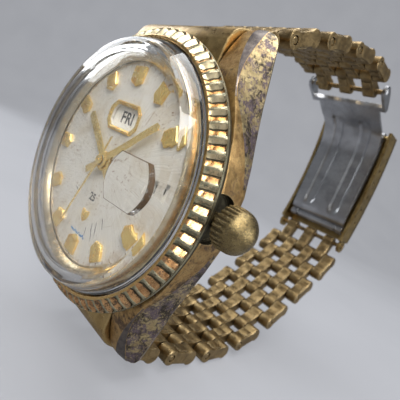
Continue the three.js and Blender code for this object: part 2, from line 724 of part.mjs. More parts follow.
function claspCover() {
  const plate = band(offsetPath(0), COVER_THICK, -COVER_HALF, COVER_HALF);
  const holes = [];
  for (let i = 0; i < COVER_HOLES; i++) {
    holes.push(circle(0.45, 6, COVER_PIN[0] + 1.2, COVER_PIN[1] + 6.5 + 3.4 * i));
  }
  const edge = offsetPath(COVER_DEPTH).reverse();
  const flanges = [-1, 1].map((s) => {
    const x = [s * COVER_HALF, s * (COVER_HALF - 0.7)].sort((p, q) => p - q);
    const ear = prismX(circle(1.5, 12, ...COVER_PIN), x[0], x[1]);
    const side = prismX([...offsetPath(0), ...edge], x[0], x[1], holes);
    return join(side, ear);
  });
  const hinge = pinX(0.45, COVER_HALF - 0.3, ...FOLD_TOP);
  return cut(join(plate, ...flanges, hinge), pinX(PIN_BORE_R, 10, ...COVER_PIN));
}

function claspMiddle() {
  const [ty, tz] = FOLD_TOP;
  const [ly, lz] = FOLD_LOW;
  const blade = band([[ty - 0.3, tz - 0.6], [ty + 0.9, tz - 4], [ty + 1.3, lz + 12], [ly + 0.9, lz + 4],
    [ly, lz]], BLADE_THICK, -MID_HALF, MID_HALF);
  const upper = pinX(1, MID_HALF, ty, tz, 10);
  const lower = pinX(0.85, 5.3, ly, lz, 10);
  const pin = pinX(0.4, INNER_HALF, ly, lz);
  const clear = [-1, 1].map((s) => prismX(circle(1.3, 10, ly, lz), ...[s * 5.3, s * 7].sort((a, b) => a - b)));
  return join(cut(join(blade, upper), pinX(0.75, 9, ty, tz), ...clear), lower, pin);
}

function claspInner() {
  const [ly, lz] = FOLD_LOW;
  const [fy, fz] = FRAME_PIN;
  const flatY = ly - 1.3;
  const blade = band([[ly - 0.3, lz + 0.2], [flatY, lz + 2.2], [flatY, lz + 16], [flatY - 0.5, lz + 20],
    [flatY - 2.6, lz + 23.6], [fy + 6.5, fz - 3.6], [fy + 2.7, fz - 1.9]], BLADE_THICK, -INNER_HALF, INNER_HALF);
  const knuckles = [-1, 1].map((s) => prismX(circle(0.9, 10, ly, lz),
    ...[s * 5.6, s * INNER_HALF].sort((a, b) => a - b)));
  const slot = prismX(circle(1.4, 10, ly, lz), -5.5, 5.5);
  const web = prismX([[fy + 2.4, fz - 2.4], [fy + 3.4, fz - 2.8], [fy + 3.7, fz - 1.9], [fy + 2.7, fz - 1.4]],
    -8.7, 8.7);
  const ears = [-1, 1].map((s) => prismX([[fy - 0.9, fz + 1.1], [fy - 1.3, fz], [fy - 0.8, fz - 1.1],
    [fy + 2.4, fz - 2.4], [fy + 3.4, fz - 2.8], [fy + 3.7, fz - 1.9], [fy + 2, fz + 0.2], [fy + 0.4, fz + 1.3]],
  ...[s * 8.05, s * 8.7].sort((a, b) => a - b)));
  const solid = cut(join(cut(blade, slot), ...knuckles, web, ...ears), pinX(0.7, 9, ly, lz));
  return solid;
}

// ================= assembly =================

const GOLD = { color: 0xb08a4a, roughness: 0.42, metalness: 1 };
const BRIGHT_GOLD = { color: 0xd9a94e, roughness: 0.25, metalness: 1 };
const PALE_GOLD = { color: 0xbfa982, roughness: 0.4, metalness: 1 };
const STEEL = { color: 0xa3a5a8, roughness: 0.35, metalness: 1 };
const BRASS = { color: 0xc2a25c, roughness: 0.35, metalness: 1 };
const SILVER = { color: 0xcfcac0, roughness: 0.45, metalness: 0.6 };
const WHITE = { color: 0xe8e4da, roughness: 0.6, metalness: 0 };
const CLEAR = { color: 0xeeeeee, roughness: 0.08, metalness: 0 };

const watch = new THREE.Group();
watch.name = 'wristwatch';

function add(name, geometry, look) {
  const piece = new THREE.Mesh(weld(geometry), new THREE.MeshStandardMaterial(look));
  piece.geometry.computeVertexNormals();
  piece.name = name;
  watch.add(piece);
}

add('case_middle', caseMiddle(), GOLD);
add('bezel', bezel(), GOLD);
add('crystal', crystal(), CLEAR);
add('reflector_ring', reflectorRing(), BRIGHT_GOLD);
add('dial', dial(), SILVER);
add('day_window_frame', dayWindowFrame(), BRIGHT_GOLD);
add('hour_hand', hand(HOUR_ANGLE, 8.6, 2.3, 0.55, 1.5, 1.06, 7.02, 7.18), BRIGHT_GOLD);
add('minute_hand', hand(MINUTE_ANGLE, 10.4, 3.2, 0.45, 1.2, 0.76, 7.36, 7.52), BRIGHT_GOLD);
add('seconds_hand', hand(SECONDS_ANGLE, 10.8, 3.4, 0.12, 0.7, 0.24, 7.75, 7.9), BRIGHT_GOLD);
add('day_disc', dayDisc(), WHITE);
add('date_disc', dateDisc(), WHITE);
add('hour_wheel', hourWheel(), BRASS);
add('cannon_pinion', cannonPinion(), STEEL);
add('minute_wheel', minuteWheel(), BRASS);
add('main_plate', mainPlate(), STEEL);
add('barrel', barrel(), BRASS);
add('centre_wheel', centreWheel(), BRASS);
add('third_wheel', thirdWheel(), BRASS);
add('fourth_wheel', fourthWheel(), BRASS);
add('escape_wheel', escapeWheel(), STEEL);
add('pallet_fork', palletFork(), STEEL);
add('balance_wheel', balanceWheel(), BRASS);
add('hairspring', hairspring(), STEEL);
add('balance_cock', balanceCock(), STEEL);
add('train_bridge', trainBridge(), STEEL);
add('rotor', rotor(), STEEL);
add('winding_stem', windingStem(), STEEL);
add('crown', crown(), GOLD);
add('setting_slide', settingSlide(), STEEL);
add('case_back', caseBack(), STEEL);
add('spring_bar_12', springBar(1), STEEL);
add('spring_bar_6', springBar(-1), STEEL);
add('end_link_12', endLink(1, OUTER_COLUMNS, PINS_12[0]), GOLD);
add('end_link_6', endLink(-1, INNER_COLUMNS, PINS_6[0]), GOLD);
for (let i = 1; i <= UNITS_12; i++) {
  const columns = i % 2 ? INNER_COLUMNS : OUTER_COLUMNS;
  const half = i < UNITS_12 ? PIN_HALF : LOOSE_PIN_HALF;
  const unit = linkUnit(columns, PINS_12[i - 1], PINS_12[i], half);
  add(`link_12_${String(i).padStart(2, '0')}`, unit, PALE_GOLD);
}
for (let i = 1; i <= UNITS_6; i++) {
  const columns = i % 2 ? OUTER_COLUMNS : INNER_COLUMNS;
  const unit = linkUnit(columns, PINS_6[i - 1], PINS_6[i]);
  add(`link_6_${String(i).padStart(2, '0')}`, unit, PALE_GOLD);
}
add('clasp_cover', claspCover(), PALE_GOLD);
add('clasp_blade_middle', claspMiddle(), STEEL);
add('clasp_blade_inner', claspInner(), STEEL);

export default watch;
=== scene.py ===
import bmesh
import bpy
import json
import math
import random
from mathutils import Matrix, Vector
from mathutils.geometry import tessellate_polygon


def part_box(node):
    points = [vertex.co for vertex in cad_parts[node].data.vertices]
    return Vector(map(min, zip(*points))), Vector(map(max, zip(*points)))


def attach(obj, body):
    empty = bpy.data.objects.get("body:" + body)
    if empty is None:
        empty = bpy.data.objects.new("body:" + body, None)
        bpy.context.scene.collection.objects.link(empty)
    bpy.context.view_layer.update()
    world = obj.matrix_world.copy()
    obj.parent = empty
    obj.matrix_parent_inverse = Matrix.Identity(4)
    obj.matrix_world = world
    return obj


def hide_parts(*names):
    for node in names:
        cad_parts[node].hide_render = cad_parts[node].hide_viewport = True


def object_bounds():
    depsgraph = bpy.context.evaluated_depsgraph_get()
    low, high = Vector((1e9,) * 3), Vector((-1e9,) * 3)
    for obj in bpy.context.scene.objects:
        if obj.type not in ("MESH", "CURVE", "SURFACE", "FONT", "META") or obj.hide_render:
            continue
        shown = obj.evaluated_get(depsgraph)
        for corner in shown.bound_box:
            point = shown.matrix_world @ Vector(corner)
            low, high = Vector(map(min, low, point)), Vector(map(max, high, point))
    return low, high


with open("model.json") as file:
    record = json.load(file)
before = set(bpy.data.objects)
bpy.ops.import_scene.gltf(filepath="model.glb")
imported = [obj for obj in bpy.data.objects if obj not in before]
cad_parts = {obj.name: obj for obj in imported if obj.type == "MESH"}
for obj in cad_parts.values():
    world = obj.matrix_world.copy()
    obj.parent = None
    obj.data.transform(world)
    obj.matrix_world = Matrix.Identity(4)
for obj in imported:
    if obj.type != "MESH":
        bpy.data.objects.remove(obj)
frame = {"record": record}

CAD_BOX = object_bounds()
RECORD = frame["record"]
rng = random.Random(12)
MM = 0.001


# ================= places taken from the frame =================

def box_mm(node):
    low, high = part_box(node)
    return low / MM, high / MM


def joint_table():
    found = {}

    def walk(value):
        if isinstance(value, dict):
            if "pos_m" in value and "name" in value:
                found[value["name"]] = Vector(value["pos_m"]) / MM
            for item in value.values():
                walk(item)
        elif isinstance(value, list):
            for item in value:
                walk(item)
    walk(RECORD)
    return found


JOINTS = joint_table()


def yz(v):
    return (v.y, v.z)


# ================= mesh helpers: millimetres in, metres out =================

def finish_mesh(bm, name, body, nodes, mats, angle=32, bevel=0.0, segments=2):
    bmesh.ops.remove_doubles(bm, verts=bm.verts, dist=1e-3)
    bmesh.ops.recalc_face_normals(bm, faces=bm.faces)
    bmesh.ops.scale(bm, vec=(MM, MM, MM), verts=bm.verts)
    mesh = bpy.data.meshes.new(name)
    bm.to_mesh(mesh)
    bm.free()
    return place(mesh, name, body, nodes, mats, angle, bevel, segments)


def place(mesh, name, body, nodes, mats, angle=32, bevel=0.0, segments=2):
    piece = bpy.data.objects.new(name, mesh)
    bpy.context.scene.collection.objects.link(piece)
    mats = mats if isinstance(mats, (list, tuple)) else [mats]
    while len(mesh.materials) > len(mats):
        mesh.materials.pop()
    for i, mat in enumerate(mats):
        if i < len(mesh.materials):
            mesh.materials[i] = mat
        else:
            mesh.materials.append(mat)
    mesh.shade_smooth()
    mesh.set_sharp_from_angle(angle=math.radians(angle))
    if bevel:
        m = piece.modifiers.new("edges", "BEVEL")
        m.width = bevel * MM
        m.segments = segments
        m.limit_method = "ANGLE"
        m.angle_limit = math.radians(38)
        m.harden_normals = True
    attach(piece, body)
    if nodes:
        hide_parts(*nodes)
    return piece


def lathe(bm, profile, count, centre=(0, 0), closed=True, shape=None, mat=0):
    """Profile of (radius, height) round the watch's own axis. shape(i, k, r, h) may bend a point."""
    rings = []
    for i in range(count):
        a = 2 * math.pi * i / count
        ring = []
        for k, (r, h) in enumerate(profile):
            if shape:
                r, h = shape(i, k, r, h)
            ring.append(bm.verts.new((centre[0] + r * math.cos(a), -h, centre[1] + r * math.sin(a))))
        rings.append(ring)
    skin(bm, rings, closed, mat)


def lathe_x(bm, profile, count, y, z, closed=True, shape=None, mat=0):
    rings = []
    for i in range(count):
        a = 2 * math.pi * i / count
        ring = []
        for k, (r, x) in enumerate(profile):
            if shape:
                r, x = shape(i, k, r, x)
            ring.append(bm.verts.new((x, y + r * math.cos(a), z + r * math.sin(a))))
        rings.append(ring)
    skin(bm, rings, closed, mat)


def skin(bm, rings, closed, mat=0):
    n = len(rings[0])
    for i in range(len(rings)):
        one, two = rings[i], rings[(i + 1) % len(rings)]
        for k in range(n if closed else n - 1):
            q = (k + 1) % n
            face = bm.faces.new((one[k], one[q], two[q], two[k]))
            face.material_index = mat
    bmesh.ops.dissolve_degenerate(bm, edges=bm.edges, dist=1e-5)


def prism(bm, outer, holes, to_low, to_high, mat=0):
    """Closed outline with holes, carried to two places by to_low and to_high."""
    loops = [outer] + list(holes)
    flat = [p for loop in loops for p in loop]
    low = [bm.verts.new(to_low(p)) for p in flat]
    high = [bm.verts.new(to_high(p)) for p in flat]
    tris = tessellate_polygon([[Vector((a, b, 0)) for a, b in loop] for loop in loops])
    made = []
    for i, j, k in tris:
        made.append(bm.faces.new((low[i], low[j], low[k])))
        made.append(bm.faces.new((high[k], high[j], high[i])))
    start = 0
    for loop in loops:
        n = len(loop)
        for i in range(n):
            a, b = start + i, start + (i + 1) % n
            made.append(bm.faces.new((low[a], low[b], high[b], high[a])))
        start += n
    for face in made:
        face.material_index = mat


def prism_y(bm, outer, h0, h1, holes=(), mat=0):
    prism(bm, outer, holes, lambda p: (p[0], -h0, p[1]), lambda p: (p[0], -h1, p[1]), mat)


def prism_x(bm, outer, x0, x1, holes=(), mat=0):
    prism(bm, outer, holes, lambda p: (x0, p[0], p[1]), lambda p: (x1, p[0], p[1]), mat)


def circle(r, n, cx=0.0, cy=0.0, start=0.0):
    return [(cx + r * math.cos(start + 2 * math.pi * i / n), cy + r * math.sin(start + 2 * math.pi * i / n))
            for i in range(n)]


def smooth_line(points, steps):
    """Catmull-Rom curve through the points."""
    out = []
    n = len(points)
    for i in range(n - 1):
        p0, p1 = points[max(i - 1, 0)], points[i]
        p2, p3 = points[i + 1], points[min(i + 2, n - 1)]
        for s in range(steps):
            t = s / steps
            out.append(tuple(
                0.5 * (2 * b + (c - a) * t + (2 * a - 5 * b + 4 * c - d) * t * t
                       + (3 * b - a - 3 * c + d) * t ** 3) for a, b, c, d in zip(p0, p1, p2, p3)))
    out.append(tuple(points[-1]))
    return out


def clamp(v, low=0.0, high=1.0):
    return max(low, min(high, v))


def ease(a, b, v):
    t = clamp((v - a) / (b - a))
    return t * t * (3 - 2 * t)


def solid_object(build):
    """A throwaway object, for cutting and joining."""
    bm = bmesh.new()
    build(bm)
    bmesh.ops.remove_doubles(bm, verts=bm.verts, dist=1e-3)
    bmesh.ops.recalc_face_normals(bm, faces=bm.faces)
    mesh = bpy.data.meshes.new("tool")
    bm.to_mesh(mesh)
    bm.free()
    ob = bpy.data.objects.new("tool", mesh)
    bpy.context.scene.collection.objects.link(ob)
    return ob


def combine(base, *steps):
    """Booleans in millimetres. Returns one mesh in metres."""
    for operation, tool in steps:
        m = base.modifiers.new("cut", "BOOLEAN")
        m.operation = operation
        m.solver = "EXACT"
        m.object = tool
    deps = bpy.context.evaluated_depsgraph_get()
    mesh = bpy.data.meshes.new_from_object(base.evaluated_get(deps))
    for ob in [base] + [tool for _, tool in steps]:
        old = ob.data
        bpy.data.objects.remove(ob)
        bpy.data.meshes.remove(old)
    mesh.transform(Matrix.Scale(MM, 4))
    return mesh


# ================= materials =================

class Nodes:
    """Short hand for a node tree."""

    def __init__(self, name):
        self.mat = bpy.data.materials.new(name)
        self.mat.use_nodes = True
        self.tree = self.mat.node_tree
        self.bsdf = self.tree.nodes["Principled BSDF"]
        self.out = self.tree.nodes["Material Output"]
        coords = self.add("ShaderNodeTexCoord")
        grow = self.add("ShaderNodeVectorMath", operation="SCALE")
        grow.inputs["Scale"].default_value = 1 / MM
        self.link(coords.outputs["Object"], grow.inputs[0])
        self.mm = grow.outputs[0]

    def add(self, kind, **props):
        node = self.tree.nodes.new(kind)
        for key, value in props.items():
            setattr(node, key, value)
        return node

    def link(self, a, b):
        self.tree.links.new(a, b)

    def put(self, value, socket):
        if hasattr(value, "links"):
            self.link(value, socket)
        elif isinstance(value, (tuple, list)) and len(value) == 3 and socket.type == "RGBA":
            socket.default_value = (*value, 1)
        else:
            socket.default_value = value

    def math(self, operation, a, b=0.0, clamp_it=False):
        node = self.add("ShaderNodeMath", operation=operation, use_clamp=clamp_it)
        self.put(a, node.inputs[0])
        self.put(b, node.inputs[1])
        return node.outputs[0]

    def ramp(self, value, low, high, to_low=0.0, to_high=1.0):
        node = self.add("ShaderNodeMapRange", interpolation_type="SMOOTHSTEP")
        self.put(value, node.inputs[0])
        for i, v in enumerate((low, high, to_low, to_high)):
            self.put(v, node.inputs[i + 1])
        return node.outputs[0]

    def mix(self, factor, a, b, blend="MIX"):
        node = self.add("ShaderNodeMix", data_type="RGBA", blend_type=blend, clamp_factor=True)
        self.put(factor, node.inputs[0])
        self.put(a, node.inputs[6])
        self.put(b, node.inputs[7])
        return node.outputs[2]

    def stretch(self, scale, turn=(0, 0, 0)):
        node = self.add("ShaderNodeMapping")
        self.link(self.mm, node.inputs[0])
        node.inputs["Scale"].default_value = scale
        node.inputs["Rotation"].default_value = turn
        return node.outputs[0]

    def noise(self, scale, detail=5.0, rough=0.55, distort=0.0, vector=None):
        node = self.add("ShaderNodeTexNoise")
        self.link(vector or self.mm, node.inputs["Vector"])
        node.inputs["Scale"].default_value = scale
        node.inputs["Detail"].default_value = detail
        node.inputs["Roughness"].default_value = rough
        node.inputs["Distortion"].default_value = distort
        return node.outputs[0]

    def cells(self, scale, feature="F1", vector=None):
        node = self.add("ShaderNodeTexVoronoi", feature=feature)
        self.link(vector or self.mm, node.inputs["Vector"])
        node.inputs["Scale"].default_value = scale
        return node.outputs[0]

    def edges(self, radius):
        """1 on edges, 0 on flat ground."""
        soft = self.add("ShaderNodeBevel", samples=4)
        soft.inputs["Radius"].default_value = radius * MM
        plain = self.add("ShaderNodeNewGeometry")
        dot = self.add("ShaderNodeVectorMath", operation="DOT_PRODUCT")
        self.link(soft.outputs[0], dot.inputs[0])
        self.link(plain.outputs["Normal"], dot.inputs[1])
        return self.ramp(dot.outputs["Value"], 0.995, 0.86)

    def hollows(self, distance):
        """1 deep in a hollow, 0 in the open."""
        node = self.add("ShaderNodeAmbientOcclusion", samples=6, only_local=True)
        node.inputs["Distance"].default_value = distance * MM
        return self.ramp(node.outputs["AO"], 0.85, 0.25)

    def bump(self, height, distance, strength=1.0, after=None):
        node = self.add("ShaderNodeBump")
        node.inputs["Distance"].default_value = distance * MM
        node.inputs["Strength"].default_value = strength
        self.link(height, node.inputs["Height"])
        if after is not None:
            self.link(after, node.inputs["Normal"])
        return node.outputs[0]

    def finish(self, colour, roughness, metallic, normal):
        self.put(colour, self.bsdf.inputs["Base Color"])
        self.put(roughness, self.bsdf.inputs["Roughness"])
        self.put(metallic, self.bsdf.inputs["Metallic"])
        if normal is not None:
            self.link(normal, self.bsdf.inputs["Normal"])
        return self.mat


def worn_metal(name, base, shade, bright, grime_and_shade, rough=0.34, spread=0.22, patches=0.5, patch_scale=0.45,
               grime_amount=0.8, hollow=0.8, wear=0.8, edge=0.16, pits=0.02, pit_scale=5.0,
               scratch=0.006, patina=None, patina_amount=0.0, patina_scale=0.7, patina_rough=0.55,
               patina_metal=0.55, patina_fall=0.0, speck_from=0.6):
    """Old metal: two tones in patches, grime and painted shade in the hollows, bare bright edges, pits and
    scratches.
    """
    n = Nodes(name)
    wide = n.noise(patch_scale, 7, 0.62, 0.6)
    fine = n.noise(patch_scale * 7, 6, 0.65)
    tone = n.math("ADD", n.math("MULTIPLY", wide, 0.7), n.math("MULTIPLY", fine, 0.3))
    colour = n.mix(n.math("MULTIPLY", n.ramp(tone, 0.4, 0.62), patches), base, shade)
    metallic = 1.0
    roughness = n.ramp(n.noise(patch_scale * 2.2, 6, 0.6), 0.3, 0.7, rough - spread / 2, rough + spread / 2)
    if patina is not None:
        parts = n.add("ShaderNodeSeparateXYZ")
        n.link(n.mm, parts.inputs[0])
        stain_and_shade = n.math("MULTIPLY", n.noise(patina_scale, 8, 0.7, 0.3), 0.6)
        stain_and_shade = n.math("ADD", stain_and_shade, n.math("MULTIPLY", n.noise(patina_scale * 5, 5, 0.7), 0.4))
        stain_and_shade = n.math("ADD", stain_and_shade, n.ramp(parts.outputs["Z"], -16, 14, patina_fall, 0.0))
        low = 0.6 - 0.28 * patina_amount
        mask = n.ramp(stain_and_shade, low, low + 0.1)
        scraped = n.noise(2.2, 4, 0.6, 0.2, n.stretch((0.6, 5, 1.6), (0.5, 0.2, 0.3)))
        mask = n.math("MULTIPLY", mask, n.ramp(scraped, 0.66, 0.56))
        tarnish = n.mix(n.ramp(n.noise(patina_scale * 1.7, 6, 0.65), 0.42, 0.6), patina, grime_and_shade)
        colour = n.mix(mask, colour, tarnish)
        roughness = n.mix(mask, roughness, (patina_rough,) * 3)
        metallic = n.math("SUBTRACT", 1.0, n.math("MULTIPLY", mask, 1 - patina_metal))
    speck = n.ramp(n.noise(pit_scale, 4, 0.7), speck_from, speck_from + 0.1)
    # Painted shade: the ambient-occlusion mask darkens the hollows towards the grime colour. This stands for
    # shade as well as real grime. The noise specks are real dirt.
    deep = n.hollows(1.0)
    dirt_and_shade = n.math("MULTIPLY", deep, hollow, True)
    dirt_and_shade = n.math("MULTIPLY", dirt_and_shade, n.ramp(n.noise(1.6, 6, 0.6), 0.2, 0.5))
    dirt_and_shade = n.math("ADD", dirt_and_shade, n.math("MULTIPLY", speck, grime_amount * 0.45), True)
    colour = n.mix(dirt_and_shade, colour, grime_and_shade)
    worn = n.math("MULTIPLY", n.edges(edge), n.ramp(n.noise(2.5, 5, 0.6), 0.3, 0.55))
    worn = n.math("MULTIPLY", worn, wear, True)
    colour = n.mix(worn, colour, bright)
    roughness = n.mix(n.math("MULTIPLY", dirt_and_shade, 0.75), roughness, (0.7,) * 3)
    roughness = n.mix(worn, roughness, (max(0.16, rough - 0.14),) * 3)
    metallic = n.math("SUBTRACT", metallic, n.math("MULTIPLY", dirt_and_shade, 0.5), True)
    lines = n.noise(3.0, 3, 0.5, 0, n.stretch((0.5, 6, 6), (0.3, 0.5, 0.9)))
    normal = n.bump(lines, scratch, 0.7)
    normal = n.bump(n.noise(pit_scale, 5, 0.7), pits, 0.8, normal)
    normal = n.bump(n.noise(patch_scale * 1.6, 3, 0.5), 0.03, 0.6, normal)
    return n.finish(colour, roughness, metallic, normal)


def steel(name, colour, dark, rough=0.3, grain=(40, 1.2, 1.2), stain_and_shade=0.35):
    """Brushed steel with long fine grain, rub marks, cloudy tone and painted shade darkening the hollows."""
    n = Nodes(name)
    brushed = n.noise(2.2, 4, 0.6, 0, n.stretch(grain))
    cloud = n.noise(0.25, 5, 0.55, 0.4)
    tint = n.mix(n.ramp(cloud, 0.35, 0.68), colour, dark)
    tint = n.mix(n.math("MULTIPLY", n.ramp(brushed, 0.35, 0.75), 0.35), tint, dark)
    # Painted shade: the hollows are darkened to near black.
    deep = n.math("MULTIPLY", n.hollows(0.9), stain_and_shade, True)
    tint = n.mix(deep, tint, (0.05, 0.045, 0.04))
    tint = n.mix(n.math("MULTIPLY", n.edges(0.12), 0.6), tint, (0.85, 0.86, 0.88))
    roughness = n.ramp(brushed, 0.3, 0.7, rough - 0.07, rough + 0.1)
    normal = n.bump(brushed, 0.004, 0.6)
    normal = n.bump(n.noise(5, 4, 0.6), 0.004, 0.4, normal)
    return n.finish(tint, roughness, 1.0, normal)


def polished(name, colour, shade, rough=0.14, pits=0.004, metallic=1.0):
    """Bright applied metal with slight tarnish."""
    n = Nodes(name)
    cloud = n.noise(0.9, 6, 0.6, 0.5)
    tint = n.mix(n.ramp(cloud, 0.42, 0.7), colour, shade)
    spots = n.ramp(n.noise(6, 4, 0.7), 0.66, 0.74)
    tint = n.mix(n.math("MULTIPLY", spots, 0.15), tint, (0.30, 0.15, 0.05))
    roughness = n.ramp(n.noise(0.8, 3, 0.5), 0.3, 0.7, rough, rough + 0.08)
    return n.finish(tint, roughness, metallic, n.bump(n.noise(1.2, 2, 0.5), pits, 0.5))


def dial_silver():
    """Silvery sunburst paint, yellowed in patches, with age specks."""
    n = Nodes("dial_silver_mat")
    parts = n.add("ShaderNodeSeparateXYZ")
    n.link(n.mm, parts.inputs[0])
    angle = n.math("ARCTAN2", parts.outputs["Z"], parts.outputs["X"])
    rays = n.add("ShaderNodeTexNoise", noise_dimensions="1D")
    n.link(n.math("MULTIPLY", angle, 28), rays.inputs["W"])
    rays.inputs["Scale"].default_value = 2.2
    rays.inputs["Detail"].default_value = 5
    ray = rays.outputs[0]
    tint = n.mix(n.ramp(ray, 0.3, 0.7), (0.60, 0.59, 0.56), (0.74, 0.73, 0.70))
    aged = n.ramp(n.noise(0.22, 7, 0.6, 0.8), 0.48, 0.72)
    tint = n.mix(n.math("MULTIPLY", aged, 0.55), tint, (0.50, 0.42, 0.30))
    radius = n.add("ShaderNodeVectorMath", operation="LENGTH")
    flat = n.add("ShaderNodeCombineXYZ")
    n.link(parts.outputs["X"], flat.inputs[0])
    n.link(parts.outputs["Z"], flat.inputs[1])
    n.link(flat.outputs[0], radius.inputs[0])
    rim = n.ramp(radius.outputs["Value"], 11.6, 13.2)
    rim = n.math("MULTIPLY", rim, n.ramp(n.noise(0.5, 7, 0.7), 0.46, 0.66))
    tint = n.mix(n.math("MULTIPLY", rim, 0.7), tint, (0.30, 0.17, 0.07))
    specks = n.ramp(n.noise(2.6, 5, 0.75), 0.585, 0.63)
    near = n.ramp(n.noise(0.35, 3, 0.5), 0.4, 0.62)
    specks = n.math("MULTIPLY", specks, near)
    tint = n.mix(n.math("MULTIPLY", specks, 0.9), tint, (0.20, 0.10, 0.05))
    crack = n.cells(0.42, "DISTANCE_TO_EDGE", n.stretch((1, 1, 1), (0.2, 0.7, 0.4)))
    hair = n.ramp(crack, 0.012, 0.0)
    hair = n.math("MULTIPLY", hair, n.ramp(n.noise(0.3, 2, 0.5), 0.52, 0.6))
    tint = n.mix(n.math("MULTIPLY", hair, 0.6), tint, (0.3, 0.2, 0.1))
    roughness = n.ramp(ray, 0.3, 0.7, 0.36, 0.5)
    normal = n.bump(ray, 0.004, 0.6)
    normal = n.bump(specks, 0.01, 0.5, normal)
    return n.finish(tint, roughness, 0.2, normal)


def painted(name, colour, other, rough=0.6, metallic=0.0, scale=1.5, depth=0.004):
    n = Nodes(name)
    cloud = n.noise(scale, 7, 0.6, 0.3)
    tint = n.mix(n.ramp(cloud, 0.35, 0.7), colour, other)
    roughness = n.ramp(n.noise(scale * 3, 5, 0.6), 0.3, 0.7, rough - 0.08, rough + 0.1)
    return n.finish(tint, roughness, metallic, n.bump(n.noise(scale * 5, 4, 0.6), depth, 0.7))


def acrylic(name, stain_and_shade=0.0):
    """Clear yellowed acrylic with rub marks. Light passes through it without a hard shadow."""
    n = Nodes(name)
    hair = n.noise(2.0, 2, 0.5, 0.3, n.stretch((0.4, 9, 9), (0.2, 1.1, 0.4)))
    cross = n.noise(2.4, 2, 0.5, 0.2, n.stretch((9, 9, 0.5), (0.9, 0.3, 1.3)))
    marks = n.math("ADD", n.ramp(hair, 0.66, 0.74), n.ramp(cross, 0.67, 0.74), True)
    cloud = n.noise(0.5, 5, 0.6)
    n.put(n.mix(n.ramp(cloud, 0.4, 0.7), (0.985, 0.98, 0.965), (0.96, 0.95, 0.915)),
          n.bsdf.inputs["Base Color"])
    rough = n.math("ADD", n.ramp(cloud, 0.45, 0.75, 0.0, 0.03), n.math("MULTIPLY", marks, 0.2), True)
    n.put(rough, n.bsdf.inputs["Roughness"])
    n.bsdf.inputs["Transmission Weight"].default_value = 1.0
    n.bsdf.inputs["IOR"].default_value = 1.49
    n.bsdf.inputs["Specular IOR Level"].default_value = 0.28
    n.link(n.bump(marks, 0.004, 0.5, n.bump(n.noise(0.3, 3, 0.5), 0.03, 0.25)), n.bsdf.inputs["Normal"])
    path = n.add("ShaderNodeLightPath")
    clear = n.add("ShaderNodeBsdfTransparent")
    clear.inputs[0].default_value = (0.97, 0.965, 0.95, 1)
    blend = n.add("ShaderNodeMixShader")
    n.link(path.outputs["Is Shadow Ray"], blend.inputs[0])
    n.link(n.bsdf.outputs[0], blend.inputs[1])
    n.link(clear.outputs[0], blend.inputs[2])
    if not stain_and_shade:
        n.link(blend.outputs[0], n.out.inputs[0])
        return n.mat
    # Brown stain and painted shade on the magnifier's side walls: a diffuse dark brown that darkens the lens
    # outline.
    edge_stain_and_shade = n.add("ShaderNodeBsdfDiffuse")
    edge_stain_and_shade.inputs[0].default_value = (0.10, 0.06, 0.03, 1)
    cover = n.add("ShaderNodeMixShader")
    n.link(n.math("MULTIPLY", n.ramp(n.noise(1.3, 6, 0.7), 0.3, 0.5), stain_and_shade), cover.inputs[0])
    n.link(blend.outputs[0], cover.inputs[1])
    n.link(edge_stain_and_shade.outputs[0], cover.inputs[2])
    n.link(cover.outputs[0], n.out.inputs[0])
    return n.mat


VERDIGRIS = (0.20, 0.215, 0.15)
# Grime colours. worn_metal also uses them as painted shade in the hollows.
BLACK_GRIME_AND_SHADE = (0.035, 0.026, 0.018)
BROWN_GRIME_AND_SHADE = (0.07, 0.045, 0.025)

CASE = worn_metal("case_gold_mat", (0.57, 0.37, 0.15), (0.34, 0.19, 0.07), (0.90, 0.72, 0.40), BROWN_GRIME_AND_SHADE,
                  rough=0.42, patches=0.85, patch_scale=0.8, wear=0.7, pits=0.02, pit_scale=6.5,
                  speck_from=0.55, grime_amount=1.3,
                  patina=(0.13, 0.08, 0.05), patina_amount=0.22, patina_scale=0.35, patina_fall=0.06)
SIDE = worn_metal("case_side_mat", (0.56, 0.37, 0.155), (0.33, 0.19, 0.075), (0.88, 0.68, 0.36), BROWN_GRIME_AND_SHADE,
                  rough=0.42, patches=0.85, patch_scale=0.8, wear=0.7, pits=0.02, pit_scale=6.5,
                  speck_from=0.54, grime_amount=1.4,
                  patina=(0.12, 0.075, 0.045), patina_amount=0.2, patina_scale=0.35, patina_fall=0.1)
FACET = worn_metal("lug_patina_mat", (0.62, 0.50, 0.27), (0.40, 0.29, 0.15), (0.88, 0.76, 0.48), BLACK_GRIME_AND_SHADE,
                   rough=0.42, patches=0.8, patch_scale=0.8, wear=0.75, pits=0.02,
                   patina=(0.14, 0.105, 0.12), patina_amount=0.54, patina_scale=0.55, patina_rough=0.5,
                   patina_fall=0.05)
BEVEL = worn_metal("lug_bevel_mat", (0.20, 0.17, 0.15), (0.10, 0.085, 0.085), (0.62, 0.52, 0.32), BLACK_GRIME_AND_SHADE,
                   rough=0.42, patches=0.9, patch_scale=1.4, wear=0.6, pits=0.02)
BEZEL = worn_metal("bezel_gold_mat", (0.86, 0.74, 0.48), (0.62, 0.49, 0.27), (0.96, 0.86, 0.6), VERDIGRIS,
                   rough=0.36, patches=0.7, patch_scale=0.9, hollow=0.9, wear=0.8, edge=0.1, pits=0.014,
                   patina=(0.22, 0.215, 0.15), patina_amount=0.18, patina_scale=1.2, patina_rough=0.6,
                   patina_fall=0.3)
GREEN = worn_metal("bezel_green_mat", (0.56, 0.50, 0.33), (0.33, 0.31, 0.20), (0.85, 0.76, 0.52), BLACK_GRIME_AND_SHADE,
                   rough=0.44, patches=0.9, patch_scale=1.2, hollow=0.6, wear=0.8, edge=0.12, pits=0.03,
                   patina=VERDIGRIS, patina_amount=0.42, patina_scale=1.6, patina_rough=0.65,
                   patina_metal=0.35)
